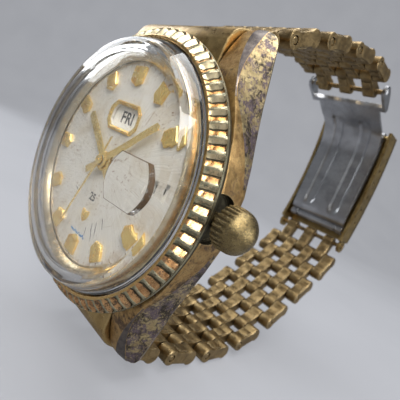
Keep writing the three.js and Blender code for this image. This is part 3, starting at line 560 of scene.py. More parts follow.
COPPER = worn_metal("bezel_copper_mat", (0.80, 0.47, 0.22), (0.56, 0.27, 0.11), (0.98, 0.82, 0.5),
                    BROWN_GRIME_AND_SHADE,
                    rough=0.26, patches=0.7, patch_scale=0.5, hollow=0.8, wear=0.8, pits=0.01,
                   patina=(0.13, 0.085, 0.05), patina_amount=0.05, patina_scale=1.3, patina_fall=0.12)
# Near-black crust, used as dirt and as painted shade in the flute grooves, under the bezel and in the crown's
# recess.
CRUST_AND_SHADE = worn_metal("bezel_crust_and_shade_mat", (0.10, 0.09, 0.06), (0.045, 0.038, 0.028), (0.55, 0.46, 0.26),
                   BLACK_GRIME_AND_SHADE,
                   rough=0.6, patches=0.9, patch_scale=1.5, wear=0.5, pits=0.03)
RING = worn_metal("bezel_ring_mat", (0.66, 0.42, 0.15), (0.5, 0.29, 0.1), (0.98, 0.78, 0.42), BROWN_GRIME_AND_SHADE,
                  rough=0.26, patches=0.6, hollow=0.7, pits=0.008)
CROWN = worn_metal("crown_gold_mat", (0.37, 0.28, 0.13), (0.20, 0.145, 0.065), (0.80, 0.68, 0.40),
                   BLACK_GRIME_AND_SHADE,
                   rough=0.26, patches=0.9, patch_scale=1.1, grime_amount=2.2, hollow=1.0, wear=0.6,
                   pits=0.05, pit_scale=9.0, speck_from=0.53)
# hollow=1.3: strong painted shade darkens the gaps between the links.
LINKS = worn_metal("bracelet_gold_mat", (0.40, 0.285, 0.135), (0.20, 0.135, 0.06), (0.84, 0.70, 0.44),
                   BLACK_GRIME_AND_SHADE,
                   rough=0.4, speck_from=0.54, patches=0.9, patch_scale=0.5, hollow=1.3, wear=0.6, pits=0.018)
HOOD = worn_metal("hood_gold_mat", (0.50, 0.35, 0.15), (0.30, 0.19, 0.07), (0.9, 0.72, 0.4), BROWN_GRIME_AND_SHADE,
                  rough=0.36, patches=0.8, pits=0.012, patina=(0.16, 0.11, 0.065), patina_amount=0.15)
COVER = worn_metal("cover_gold_mat", (0.50, 0.36, 0.15), (0.33, 0.22, 0.08), (0.8, 0.64, 0.36), BLACK_GRIME_AND_SHADE,
                   rough=0.36, patches=0.8, hollow=0.9, pits=0.015)
BRIGHT = polished("bright_gold_mat", (1.0, 0.76, 0.30), (0.90, 0.54, 0.18), 0.2, 0.0008, metallic=0.84)
HANDS = polished("hand_gold_mat", (0.98, 0.78, 0.36), (0.90, 0.66, 0.28), 0.2, 0.0008, metallic=0.8)
REFLECTOR = polished("reflector_gold_mat", (0.95, 0.84, 0.62), (0.86, 0.66, 0.38), 0.2, 0.006)
NECK = polished("neck_gold_mat", (0.90, 0.80, 0.60), (0.62, 0.46, 0.24), 0.3, 0.01)
SILVER = dial_silver()
PAPER = painted("disc_white_mat", (0.84, 0.83, 0.80), (0.74, 0.71, 0.64))
INK = painted("print_black_mat", (0.03, 0.032, 0.04), (0.07, 0.07, 0.08), 0.5)
BROWN_INK = painted("print_brown_mat", (0.19, 0.12, 0.06), (0.36, 0.25, 0.14), 0.5)
BLUE_INK = painted("print_blue_mat", (0.04, 0.17, 0.42), (0.10, 0.27, 0.52), 0.45)
BLADE = steel("clasp_steel_mat", (0.58, 0.59, 0.61), (0.40, 0.405, 0.42), 0.28, (1.2, 1.2, 30))
BACK = steel("back_steel_mat", (0.60, 0.60, 0.60), (0.42, 0.41, 0.40), 0.3, (1.2, 1.2, 20), 0.6)
MOVEMENT = steel("movement_steel_mat", (0.66, 0.65, 0.62), (0.46, 0.45, 0.42), 0.26, (18, 2, 2), 0.6)
BRASS = worn_metal("gear_brass_mat", (0.78, 0.58, 0.25), (0.62, 0.42, 0.16), (0.95, 0.8, 0.45), BROWN_GRIME_AND_SHADE,
                   rough=0.25, patches=0.5, pits=0.004, hollow=0.5)
GLASS = acrylic("acrylic_mat")
LENS_EDGE = acrylic("acrylic_edge_mat", 0.9)


# ================= head =================

LUG_X = 9.3
# (distance from the middle, half width): the widest line of the case, and the edge of its top face
FLANK = [(0, 17.4), (3, 17.3), (6, 16.6), (9, 15.7), (12.3, 14.8), (15.5, 14.1), (17.7, 13.6), (19.3, 13.25),
         (20, 12.8), (20.4, 12.2), (20.6, 11.6)]
TOP_EDGE = [(0, 17.4), (3, 17.3), (6, 16.5), (8, 15.95), (10, 15.1), (12, 13.9), (14, 12.9), (16, 11.9),
            (18, 11.1),
            (20, 10.45), (20.6, 10.3)]
CROWN_BOX = box_mm("crown")
STEM_Y = (CROWN_BOX[0].y + CROWN_BOX[1].y) / 2


def look_up(table, z):
    for (z0, v0), (z1, v1) in zip(table, table[1:]):
        if z <= z1:
            return v0 + (v1 - v0) * (z - z0) / (z1 - z0)
    return table[-1][1]


def side_section(z):
    """Section of one side of the case: a wall at the crown, a bevel and a broad facet along the lug."""
    end = max(0.0, (z - 19.3) / 1.3) ** 2
    top = 5.2 - 0.035 * max(0.0, z - 12) ** 2 - 0.5 * end
    low = 1.1 + 0.3 * end
    inner = LUG_X + 0.8 * end
    wide = look_up(FLANK, z) - 0.01
    edge = look_up(TOP_EDGE, z) - 0.01
    lug = ease(11, 14, z)
    bevel = (0.05 + 1.2 * ease(12, 20.6, z)) * lug
    bevel_h = top - 0.3 * (1 - lug) - (0.5 - 0.25 * end) * bevel
    facet_h = low + 0.8 + (bevel_h - 0.05 - low - 0.8) * ease(3, 13, z)
    drop = 0.45 - 0.27 * end
    return [(inner, low + 0.06), (inner + 0.08, low), (wide - 0.45, low), (wide - 0.12, low + 0.3 * drop),
            (wide, low + drop), (edge + bevel + 0.03, facet_h), (edge + bevel, bevel_h),
            (edge - 0.1 * (1 - lug), top - 0.09 * (1 - lug)), (edge - 0.35 * (1 - lug) - 0.03, top),
            (inner + 0.08, top), (inner, top - 0.06)]


def case_middle():
    steps = [0.75 * i for i in range(25)] + [18.5, 19, 19.3, 19.65, 20, 20.2, 20.4, 20.52, 20.6]
    stations = [-z for z in reversed(steps[1:])] + steps

    def bar(side):
        def build(bm):
            rings = [[bm.verts.new((side * x, -h, z)) for x, h in side_section(abs(z))] for z in stations]
            n = len(rings[0])
            for i, (one, two) in enumerate(zip(rings, rings[1:])):
                z = abs(stations[i] + stations[i + 1]) / 2
                for k in range(n):
                    q = (k + 1) % n
                    face = bm.faces.new((one[k], one[q], two[q], two[k]))
                    if k in (3, 4, 5):
                        face.material_index = 1 if z > 3.5 and k < 5 else 4
                    elif z > 12 and k == 6:
                        face.material_index = 2
            bm.faces.new(rings[0])
            bm.faces.new(rings[-1])
        ob = solid_object(build)
        for _ in range(5):
            ob.data.materials.append(None)
        return ob

    arc = math.acos((LUG_X + 0.1) / 17.28)
    turns = [arc + (math.pi - 2 * arc) * i / 48 for i in range(49)]
    half = [(17.28 * math.cos(t), 17.28 * math.sin(t)) for t in turns]
    body = bar(1)
    rest = solid_object(lambda bm: prism_y(bm, half + [(-x, -z) for x, z in half], 1.12, 5.18))
    bore = solid_object(lambda bm: lathe(bm, [(0, 0), (13.4, 0), (13.4, 8), (0, 8)], 96, closed=False))
    hole = [(0, 16.42), (2.55, 16.42), (2.7, 16.6), (2.7, 20), (0, 20)]
    # The crown's recess takes the near-black crust (slot 3): painted shade in the hollow round the crown.
    recess = solid_object(lambda bm: lathe_x(bm, hole, 64, STEM_Y, 0, closed=False, mat=3))
    for _ in range(5):
        recess.data.materials.append(None)
    mesh = combine(body, ("UNION", rest), ("UNION", bar(-1)), ("DIFFERENCE", bore), ("DIFFERENCE", recess))
    place(mesh, "case_body", "head", ["case_middle"], [CASE, FACET, BEVEL, CRUST_AND_SHADE, SIDE], 24,
          0.06)

    bm = bmesh.new()
    lathe(bm, [(12.95, 5.3), (16.0, 5.1), (16.0, 6.65), (15.9, 6.75), (14.8, 6.75), (13.0, 6.72)], 128)
    finish_mesh(bm, "case_neck", "head", ["case_middle"], NECK)


def bezel():
    low, high = box_mm("bezel")
    r_out = high.x
    top, bottom = -low.y, -high.y
    r_in = box_mm("crystal")[1].x + 0.17
    flutes = 72
    depth = 0.52
    zone = 9
    inner_top = (r_in + 0.36, top - 0.06)
    outer_low = (r_out - 0.03, top - 1.12)
    profile = [(r_in, bottom), (r_in, top - 0.1), (r_in + 0.06, top), (r_in + 0.26, top)]
    marks = [0.0] * len(profile)
    for k in range(zone + 1):
        t = k / zone
        bulge = 0.16 * math.sin(math.pi * t)
        profile.append((inner_top[0] + (outer_low[0] - inner_top[0]) * t + bulge * 0.55,
                        inner_top[1] + (outer_low[1] - inner_top[1]) * t + bulge * 0.8))
        marks.append(min(1.0, t / 0.2, (1 - t) / 0.14) * (0.75 + 0.25 * t))
    profile += [(r_out, top - 1.22), (r_out, top - 1.4), (r_out - 0.05, top - 1.52),
                (r_out - 0.3, bottom + 0.1), (r_out - 0.4, bottom)]
    marks += [0.0] * 5
    profile = [(min(r, r_out), min(h, top)) for r, h in profile]
    stations = [(0.0, 0.0), (0.1, 0.0), (0.16, 0.12), (0.52, 0.93), (0.59, 1.08), (0.67, 0.93), (0.95, 0.06)]
    bm = bmesh.new()
    rings = []
    for f in range(flutes):
        shift = rng.uniform(-0.02, 0.02)
        deep = depth * rng.uniform(0.9, 1.06)
        for u, cut in stations:
            a = 2 * math.pi * (f + u + shift) / flutes
            ring = []
            for (r, h), m in zip(profile, marks):
                d = deep * cut * m
                ring.append(bm.verts.new(((r - 0.5 * d) * math.cos(a), -(h - 0.85 * d),
                                          (r - 0.5 * d) * math.sin(a))))
            rings.append(ring)
    n = len(profile)
    for i, one in enumerate(rings):
        two = rings[(i + 1) % len(rings)]
        step = i % len(stations)
        for k in range(n):
            q = (k + 1) % n
            face = bm.faces.new((one[k], one[q], two[q], two[k]))
            # Flute groove floors (steps 3 and 4), the ledge below the flutes and the bezel's underside get
            # the near-black crust: dirt and painted shade.
            if marks[k] > 0 or marks[q] > 0:
                face.material_index = (2, 2, 1, 4, 4, 0, 2)[step]
            elif k <= 3:
                face.material_index = 3
            else:
                face.material_index = 4 if k > len(profile) - 4 or k == 3 + zone + 1 else 2
    finish_mesh(bm, "bezel_ring", "head", ["bezel"], [BEZEL, COPPER, GREEN, RING, CRUST_AND_SHADE], 24)


def crystal():
    low, high = box_mm("crystal")
    rim = high.x
    base = -high.y
    dome = smooth_line([(14.55, 9.92), (14.0, 10.12), (12, 10.52), (8, 10.98), (4, 11.22), (0, 11.3)], 6)
    hollow = smooth_line([(0, 10), (5, 9.9), (9, 9.6), (12, 9.1), (13.4, 8.65), (14.2, 8.05), (14.6, 7.4)], 5)
    profile = hollow + [(14.75, base), (rim - 0.06, base), (rim, base + 0.06), (rim, base + 0.82),
                        (rim - 0.08, base + 0.95), (15.05, 9.55), (14.88, 9.76)] + dome
    shell = solid_object(lambda bm: lathe(bm, profile, 144, closed=False))
    left, right, half_z = 7.3, 13.9, 2.6
    top = -low.y

    def lens(bm):
        outline = []
        for i in range(13):
            v = -1 + i / 6
            outline.append((left + 1.15 * v * v, half_z * v))
        for i in range(1, 8):
            outline.append((left + 1.15 + (right - left - 2.3) * i / 8, half_z))
        for i in range(13):
            v = 1 - i / 6
            outline.append((right - 1.15 * v * v, half_z * v))
        for i in range(1, 8):
            outline.append((right - 1.15 - (right - left - 2.3) * i / 8, -half_z))
        cx = (left + right) / 2

        def rim_h(x):
            return 11.34 - 0.075 * (x - left)

        def level(t, height):
            return [bm.verts.new((cx + (x - cx) * t, -height(cx + (x - cx) * t), z * t)) for x, z in outline]

        loops = [level(1.0, lambda x: 9.75 + 0.1 * (right - x) / 3), level(1.0, rim_h),
                 level(0.975, lambda x: rim_h(x) + 0.06)]
        for t in (0.9, 0.8, 0.65, 0.5, 0.35, 0.2, 0.08):
            loops.append(level(t, lambda x, t=t: min(top, rim_h(x) + 0.06 + 0.44 * (0.951 - t * t))))
        for one, two in zip(loops, loops[1:]):
            n = len(one)
            for i in range(n):
                face = bm.faces.new((one[i], one[(i + 1) % n], two[(i + 1) % n], two[i]))
                face.material_index = 1 if one in loops[:2] else 0
        bm.faces.new(loops[0])
        bm.faces.new(loops[-1])

    magnifier = solid_object(lens)
    for ob in (shell, magnifier):
        ob.data.materials.append(None)
        ob.data.materials.append(None)
    mesh = combine(shell, ("UNION", magnifier))
    place(mesh, "crystal_dome", "head", ["crystal"], [GLASS, LENS_EDGE], 22)


def reflector():
    bm = bmesh.new()
    low, high = box_mm("reflector_ring")
    r, h0, h1 = high.x, -high.y, -low.y
    lathe(bm, [(r - 1.25, h0), (r, h0), (r - 0.08, h0 + 0.2), (r - 0.34, h1 - 0.05), (r - 0.42, h1),
               (r - 0.56, h1), (r - 0.64, h1 - 0.05), (r - 1.0, h0 + 0.36)], 160)
    finish_mesh(bm, "reflector_ring_fine", "head", ["reflector_ring"], REFLECTOR)


def octagon(half_x, half_z, corner, z):
    return [(px, pz + z) for px, pz in (
        (half_x, -half_z + corner), (half_x, half_z - corner), (half_x - corner, half_z),
        (-half_x + corner, half_z), (-half_x, half_z - corner), (-half_x, -half_z + corner),
        (-half_x + corner, -half_z), (half_x - corner, -half_z))]


DAY = {"z": 5.9, "half_x": 2.9, "half_z": 1.35, "corner": 0.7}
DATE = {"x": 9.6, "half_x": 1.25, "half_z": 1.0}


def stepped(bm, outline, levels):
    """A small raised shape from (inset, height) levels round one outline."""
    cx = sum(p[0] for p in outline) / len(outline)
    cz = sum(p[1] for p in outline) / len(outline)
    loops = []
    for inset, h in levels:
        loop = []
        for x, z in outline:
            size = math.hypot(x - cx, z - cz)
            k = (size - inset) / size
            loop.append(bm.verts.new((cx + (x - cx) * k, -h, cz + (z - cz) * k)))
        loops.append(loop)
    for one, two in zip(loops, loops[1:]):
        n = len(one)
        for i in range(n):
            bm.faces.new((one[i], one[(i + 1) % n], two[(i + 1) % n], two[i]))
    bm.faces.new(loops[0])
    bm.faces.new(loops[-1])


def turned_points(points, degrees):
    """Clockwise from 12 o'clock as seen from the front."""
    a = math.radians(degrees)
    return [(x * math.cos(a) + z * math.sin(a), z * math.cos(a) - x * math.sin(a)) for x, z in points]


def dial():
    low, high = box_mm("dial")
    r, h0 = high.x, -high.y
    h1 = h0 + 0.3
    date_hole = [(DATE["x"] + sx * DATE["half_x"], sz * DATE["half_z"]) for sx, sz in
                 ((-1, -1), (1, -1), (1, 1), (-1, 1))]
    day_hole = octagon(DAY["half_x"], DAY["half_z"], DAY["corner"], DAY["z"])
    bm = bmesh.new()
    prism_y(bm, circle(r, 120), h0, h1, [circle(1.25, 32), day_hole, date_hole])
    finish_mesh(bm, "dial_plate", "head", ["dial"], SILVER, 30)

    bm = bmesh.new()
    for hour in range(1, 13):
        if hour == 3:
            continue
        w = 1.2 if hour % 6 == 0 else 0.98
        block = [(-w, 10.5), (0, 9.95), (w, 10.5), (w, 12.5), (-w, 12.5)]
        stepped(bm, turned_points(block, hour * 30), [(0, h1 - 0.05), (0, h1 + 0.28), (0.05, h1 + 0.34),
                                                      (0.3, h1 + 0.5)])
    finish_mesh(bm, "hour_markers", "head", ["dial"], BRIGHT, 12, 0.03)

    bm = bmesh.new()
    shield = [(0, -8.1), (0.62, -7.6), (0.8, -7.0), (0.8, -6.5), (0, -6.62), (-0.8, -6.5), (-0.8, -7.0),
              (-0.62, -7.6)]
    stepped(bm, shield, [(0, h1 - 0.05), (0, h1 + 0.12), (0.14, h1 + 0.2)])
    finish_mesh(bm, "dial_emblem", "head", ["dial"], BRIGHT, 12, 0.02)

    bm = bmesh.new()
    for i in range(60):
        if i in (14, 15, 16):
            continue
        w = 0.05 if i % 5 else 0.08
        tick = turned_points([(-w, 12.62), (w, 12.62), (w, 12.98), (-w, 12.98)], i * 6)
        prism_y(bm, tick, h1 - 0.02, h1 + 0.02)
    finish_mesh(bm, "dial_minute_track", "head", ["dial"], BROWN_INK, 30)

    bm = bmesh.new()
    wave = [(-1.9 + 3.8 * i / 30, -9.75 + 0.16 * math.sin(i * 1.15) * math.cos(i * 0.35)) for i in range(31)]
    lower = [(x, z - 0.13) for x, z in wave]
    upper = [(x, z + 0.13) for x, z in reversed(wave)]
    prism_y(bm, lower + upper, h1 - 0.02, h1 + 0.02)
    finish_mesh(bm, "dial_blue_line", "head", ["dial"], BLUE_INK, 30)
    bm = bmesh.new()
    for start, angle, length in (((2.2, -7.4), -62, 2.4), ((3.0, -7.0), -66, 2.0), ((1.3, -8.4), -75, 1.1),
                                 ((3.9, -6.1), -52, 1.5), ((-3.6, -5.2), 160, 1.2)):
        across = Vector((-math.sin(math.radians(angle)), math.cos(math.radians(angle))))
        ahead = Vector((math.cos(math.radians(angle)), math.sin(math.radians(angle))))
        spine = [Vector(start) + ahead * (length * i / 5) + across * rng.uniform(-0.05,
            0.05) for i in range(6)]
        width = [0.02, 0.05, 0.06, 0.05, 0.04, 0.015]
        edge = [p + across * w for p, w in zip(spine, width)]
        edge += [p - across * w for p, w in reversed(list(zip(spine, width)))]
        prism_y(bm, [tuple(p) for p in edge], h1 - 0.02, h1 + 0.015)
    finish_mesh(bm, "dial_cracks", "head", ["dial"], INK, 30)
    write_flat("dial_number", [("25", 0, -4.75, 0)], 1.4, h1 + 0.005, "head", ["dial"], INK)

    low, high = box_mm("day_window_frame")
    f0, f1 = -high.y, -low.y
    bm = bmesh.new()
    rings = []
    for grow, h in ((0.02, f0), (0.55, f0), (0.55, f0 + 0.08), (0.40, f1), (0.24, f1), (0.02, f0 + 0.1)):
        loop = octagon(DAY["half_x"] + grow, DAY["half_z"] + grow, DAY["corner"] + 0.4 * grow, DAY["z"])
        rings.append([bm.verts.new((x, -h, z)) for x, z in loop])
    for one, two in zip(rings, rings[1:] + rings[:1]):
        for i in range(8):
            bm.faces.new((one[i], one[(i + 1) % 8], two[(i + 1) % 8], two[i]))
    finish_mesh(bm, "day_window_bevelled_frame", "head", ["day_window_frame"], BRIGHT, 12,
                0.02)


def write_flat(name, words, size, h, body, nodes, mat, thick=0.015):
    """Flat printed words: (text, x, z, degrees clockwise)."""
    bm = bmesh.new()
    for text, x, z, turn in words:
        curve = bpy.data.curves.new("text", "FONT")
        curve.body = text
        curve.size = size
        curve.align_x = "CENTER"
        curve.align_y = "CENTER"
        curve.extrude = thick / 2
        curve.offset = 0.022 * size
        curve.resolution_u = 3
        ob = bpy.data.objects.new("text", curve)
        bpy.context.scene.collection.objects.link(ob)
        bpy.context.view_layer.update()
        mesh = bpy.data.meshes.new_from_object(ob.evaluated_get(bpy.context.evaluated_depsgraph_get()))
        bpy.data.objects.remove(ob)
        stand = Matrix(((1, 0, 0, 0), (0, 0, -1, 0), (0, 1, 0, 0), (0, 0, 0, 1)))
        mesh.transform(Matrix.Translation((x, -h, z)) @ Matrix.Rotation(math.radians(turn), 4, "Y") @ stand)
        bm.from_mesh(mesh)
        bpy.data.meshes.remove(mesh)
    return finish_mesh(bm, name, body, nodes, mat, 30)


def discs():
    low, high = box_mm("day_disc")
    r, top = high.x, -low.y
    bm = bmesh.new()
    prism_y(bm, circle(r, 96), -high.y, top, [circle(1.4, 32)])
    finish_mesh(bm, "day_disc_plate", "day", ["day_disc"], PAPER, 30)
    names = ["FRI", "SAT", "SUN", "MON", "TUE", "WED", "THU"]
    words = []
    for i, word in enumerate(names):
        turn = 360 * i / 7
        (x, z), = turned_points([(0, DAY["z"])], turn)
        words.append((word, x, z, turn))
    write_flat("day_names", words, 2.1, top + 0.004, "day", ["day_disc"], INK)

    low, high = box_mm("date_disc")
    r, top = high.x, -low.y
    inner = []
    for i in range(31):
        a = 2 * math.pi * i / 31
        for da, rr in ((-0.055, 8.62), (-0.03, 9.05), (0.03, 9.05), (0.055, 8.62)):
            inner.append((rr * math.cos(a + da), rr * math.sin(a + da)))
    bm = bmesh.new()
    prism_y(bm, circle(r, 124), -high.y, top, [inner])
    finish_mesh(bm, "date_disc_plate", "date", ["date_disc"], PAPER, 30)
    words = []
    for i in range(31):
        a = 2 * math.pi * i / 31
        words.append((str(i + 1), 10.05 * math.cos(a), 10.05 * math.sin(a), -math.degrees(a)))
    write_flat("date_numbers", words, 1.45, top + 0.004, "date", ["date_disc"], INK)


def hand(name, node, body, degrees, reach, tail, half, hub):
    low, high = box_mm(node)
    h0, h1 = -high.y, -low.y
    mid = (h0 + h1) / 2
    bm = bmesh.new()
    side = [(-half, -tail), (half, -tail), (half, reach - half * 0.6), (0, reach),
            (-half, reach - half * 0.6)]
    ridge = [(0, -tail + half), (0, -tail + half), (0, reach - half * 1.4), (0, reach - half * 1.3),
             (0, reach - half * 1.4)]
    low_loop = [bm.verts.new((x, -h0, z)) for x, z in turned_points(side, degrees)]
    mid_loop = [bm.verts.new((x, -mid, z)) for x, z in turned_points(side, degrees)]
    top_loop = [bm.verts.new((x, -h1, z)) for x, z in turned_points(
        [(sx * 0.3 if half > 0.2 else sx * 0.5, rz) for (sx, _), (_, rz) in zip(side, ridge)], degrees)]
    bm.faces.new(low_loop)
    for one, two in ((low_loop, mid_loop), (mid_loop, top_loop)):
        for i in range(5):
            bm.faces.new((one[i], one[(i + 1) % 5], two[(i + 1) % 5], two[i]))
    bm.faces.new(top_loop)
    lathe(bm, [(0, h0), (hub - 0.05, h0), (hub, h0 + 0.04), (hub, h1 - 0.05), (hub - 0.08, h1), (0, h1)], 40,
          closed=False)
    finish_mesh(bm, name, body, [node], HANDS, 14)


def hands():
    hand("hour_baton", "hour_hand", "hours", 306, 8.6, 2.3, 0.55, 1.25)
    hand("minute_baton", "minute_hand", "minutes", 52, 10.4, 3.2, 0.45, 1.0)
    hand("seconds_needle", "seconds_hand", "seconds", 197, 10.8, 3.4, 0.12, 0.6)


def crown():
    high = CROWN_BOX[1]
    r_out, x1 = high.z, high.x
    x0 = x1 - 3.5
    ribs = 26
    wave = [0.0, 0.0, 0.03, 0.25, 0.85, 1.0, 0.85, 0.25]
    # distance along the crown, drop from the full radius, rib depth
    steps = [(0.02, 0.6, 0.1), (0.06, 0.2, 0.2), (0.2, 0.05, 0.24), (0.45, 0, 0.24), (0.95, 0, 0.24),
             (1.3, 0.02, 0.2), (1.55, 0.04, 0.12), (1.75, 0.07, 0.03), (1.95, 0.12, 0), (2.25, 0.24, 0),
             (2.55, 0.44, 0), (2.85, 0.74, 0), (3.1, 1.1, 0), (3.3, 1.5, 0), (3.42, 1.88, 0)]
    profile = [(0, x0), (0.86, x0)] + [(r_out - drop, x0 + dx) for dx, drop, _ in steps] + [(0, x1)]
    amount = [0, 0] + [rib for _, _, rib in steps] + [0]

    def shape(i, k, r, x):
        return r - amount[k] * wave[i % len(wave)], x

    bm = bmesh.new()
    lathe_x(bm, profile, ribs * len(wave), STEM_Y, 0, closed=False, shape=shape)
    lathe_x(bm, [(0, x0 - 1.8), (0.84, x0 - 1.8), (0.84, x0 + 0.1), (0, x0 + 0.1)], 32, STEM_Y, 0,
            closed=False)
    finish_mesh(bm, "crown_knob", "crown_spin_body", ["crown"], CROWN, 26)


def case_back():

    def build(bm):
        lathe(bm, [(0, 0), (11.5, 0), (11.8, 0.06), (12.2, 0.12), (13.9, 0.52), (14.25, 0.68), (14.3, 0.8),
                   (14.3, 1.04), (13.15, 1.04), (13.15, 1.9), (12.75, 1.9), (12.75, 0.85), (0, 0.85)], 144,
              closed=False)

    def notch(i):
        points = turned_points([(-0.9, 13.0), (0.9, 13.0), (0.9, 14.8), (-0.9, 14.8)], (i + 0.5) * 60)
        return solid_object(lambda bm: prism_y(bm, points, -0.2, 0.55))

    def groove():
        return solid_object(lambda bm: lathe(bm, [(10.35, -0.2), (10.5, -0.2), (10.5, 0.08),
                                                  (10.35, 0.08)], 144))

    mesh = combine(solid_object(build), *[("DIFFERENCE", notch(i)) for i in range(6)],
                   ("DIFFERENCE", groove()))
    place(mesh, "case_back_lid", "head", ["case_back"], BACK, 28, 0.04)


# ================= bracelet =================

PITCH_X = 2.6
WIDTH = 2.4
TUBE = 1.3
WEB = 1.02
PIN = 0.5
PIN_HALF = 8.95
LOOSE_PIN_HALF = 7.6
BORE = 0.62
OUTER = (-3, -1, 1, 3)
INNER = (-2, 0, 2)


def dumbbell(a, b, tube=TUBE, web=WEB):
    """Side view of a link: a rolled tube at each end, and a waisted web between, (y, z)."""
    length = math.dist(a, b)
    u = ((b[0] - a[0]) / length, (b[1] - a[1]) / length)
    start = math.asin(web / tube)
    local = []
    for i in range(15):
        t = -math.pi + start + (2 * math.pi - 2 * start) * i / 14
        local.append((length + tube * math.cos(t), tube * math.sin(t)))
    for i in range(15):
        t = start + (2 * math.pi - 2 * start) * i / 14
        local.append((tube * math.cos(t), tube * math.sin(t)))
    return [(a[0] + u[0] * p - u[1] * q, a[1] + u[1] * p + u[0] * q) for p, q in local]


def roll_seam(bm, a, b, x0, x1):
    """The lapped edge of the folded strip, a low rib across the web."""
    length = math.dist(a, b)
    u = ((b[0] - a[0]) / length, (b[1] - a[1]) / length)
    for s in (1, -1):
        local = [(1.35, s * (WEB - 0.05)), (1.35, s * (WEB + 0.1)), (1.5, s * (WEB + 0.16)),
                 (length - 1.5, s * (WEB + 0.16)), (length - 1.35, s * (WEB + 0.1)),
                 (length - 1.35, s * (WEB - 0.05))]
        prism_x(bm, [(a[0] + u[0] * p - u[1] * q, a[1] + u[1] * p + u[0] * q) for p, q in local], x0, x1)


def plates(bm, columns, a, b, bored=True):
    for column in columns:
        x = column * PITCH_X
        half = WIDTH / 2
        holes = [circle(BORE, 20, *a)] if bored else []
        outline = dumbbell(a, b)
        levels = [(-half, 0.14), (-half + 0.07, 0.04), (-half + 0.2, 0.0), (half - 0.2, 0.0),
                  (half - 0.07, 0.04), (half, 0.14)]
        rounded_plate(bm, outline, holes, x, levels, a, b)
        roll_seam(bm, a, b, x - half + 0.35, x + half - 0.35)


def rounded_plate(bm, outline, holes, x, levels, a, b):
    """Outline lofted along x, drawn in at both faces so that the edges are rounded."""
    def inset(points, d):
        out = []
        for p in points:
            t = clamp(((p[0] - a[0]) * (b[0] - a[0]) + (p[1] - a[1]) * (b[1] - a[1])) / math.dist(a, b) ** 2)
            c = (a[0] + (b[0] - a[0]) * t, a[1] + (b[1] - a[1]) * t)
            size = math.dist(p, c)
            k = (size - d) / size
            out.append((c[0] + (p[0] - c[0]) * k, c[1] + (p[1] - c[1]) * k))
        return out

    loops = []
    for dx, d in levels:
        loops.append([bm.verts.new((x + dx, y, z)) for y, z in inset(outline, d)])
    n = len(outline)
    for one, two in zip(loops, loops[1:]):
        for i in range(n):
            bm.faces.new((one[i], one[(i + 1) % n], two[(i + 1) % n], two[i]))
    hole_loops = []
    for hole in holes:
        hole_loops.append([[bm.verts.new((x + dx, y, z)) for y, z in hole] for dx in (levels[0][0],
            levels[-1][0])])
    for end, loop in ((0, loops[0]), (1, loops[-1])):
        ring_sets = [loop] + [h[end] for h in hole_loops]
        flat = [v for ring in ring_sets for v in ring]
        for i, j, k in tessellate_polygon([[Vector((v.co.y, v.co.z,
                                                    0)) for v in ring] for ring in ring_sets]):
            bm.faces.new((flat[i], flat[j], flat[k]))
    for low, high in hole_loops:
        m = len(low)
        for i in range(m):
            bm.faces.new((low[i], low[(i + 1) % m], high[(i + 1) % m], high[i]))


def pin(bm, at, half, r=PIN):
    lathe_x(bm, [(0, -half), (r - 0.12, -half), (r, -half + 0.1), (r, half - 0.1), (r - 0.12, half),
                 (0, half)], 20,
            *at, closed=False)


def bracelet():
    tail_12 = box_mm("link_12_09")
    end_12 = (tail_12[1].y - TUBE, tail_12[0].z + TUBE)
    strands = (("12", 9, end_12, INNER, OUTER), ("6", 14, yz(JOINTS["cover_swing"]), OUTER, INNER))
    for strand, count, end, odd, even in strands:
        places = [yz(JOINTS[f"pin_{strand}_{i:02d}"]) for i in range(1, count + 1)] + [end]
        for i in range(count):
            bm = bmesh.new()
            plates(bm, odd if i % 2 == 0 else even, places[i], places[i + 1])
            loose = strand == "12" and i == count - 1
            pin(bm, places[i + 1], LOOSE_PIN_HALF if loose else PIN_HALF)
            node = f"link_{strand}_{i + 1:02d}"
            finish_mesh(bm, f"{node}_rolled", f"{node}_body", [node], LINKS, 30)
        end_link(strand, 1 if strand == "12" else -1, OUTER if strand == "12" else INNER, places[0])


def end_link(strand, s, columns, first_pin):
    half = 9.12
    hood = smooth_line([(-4.9, 14), (-4.9, 17.2), (-4.72, 18.4), (-3.95, 19.6), (-2.6, 20.45), (-1, 20.8),
                        (0.25, 20.5), (0.68, 19.6), (0.4, 14)], 4)

    def body(bm):
        levels = [(-half, 0.25), (-half + 0.1, 0.08), (-half + 0.3, 0), (half - 0.3, 0), (half - 0.1, 0.08),
                  (half, 0.25)]
        loops = []
        for x, d in levels:
            loop = []
            for y, z in hood:
                cy, cz = -2.1, 16.5
                size = math.dist((y, z), (cy, cz))
                k = (size - d) / size
                loop.append(bm.verts.new((x, cy + (y - cy) * k, s * (cz + (z - cz) * k))))
            loops.append(loop)
        n = len(hood)
        for one, two in zip(loops, loops[1:]):
            for i in range(n):
                bm.faces.new((one[i], one[(i + 1) % n], two[(i + 1) % n], two[i]))
        bm.faces.new(loops[0])
        bm.faces.new(loops[-1])

    cylinder = solid_object(lambda bm: lathe(bm, [(0, -2), (17.5, -2), (17.5, 6), (0, 6)], 128, closed=False))
    mesh = combine(solid_object(body), ("DIFFERENCE", cylinder))
    node = f"end_link_{strand}"
    place(mesh, f"{node}_hood", "head", [node], HOOD, 28, 0.05)
    bm = bmesh.new()
    plates(bm, columns, (-0.2, s * 19.6), first_pin, False)
    pin(bm, first_pin, PIN_HALF)
    finish_mesh(bm, f"{node}_tabs", "head", [node], LINKS, 30)


# ================= clasp =================

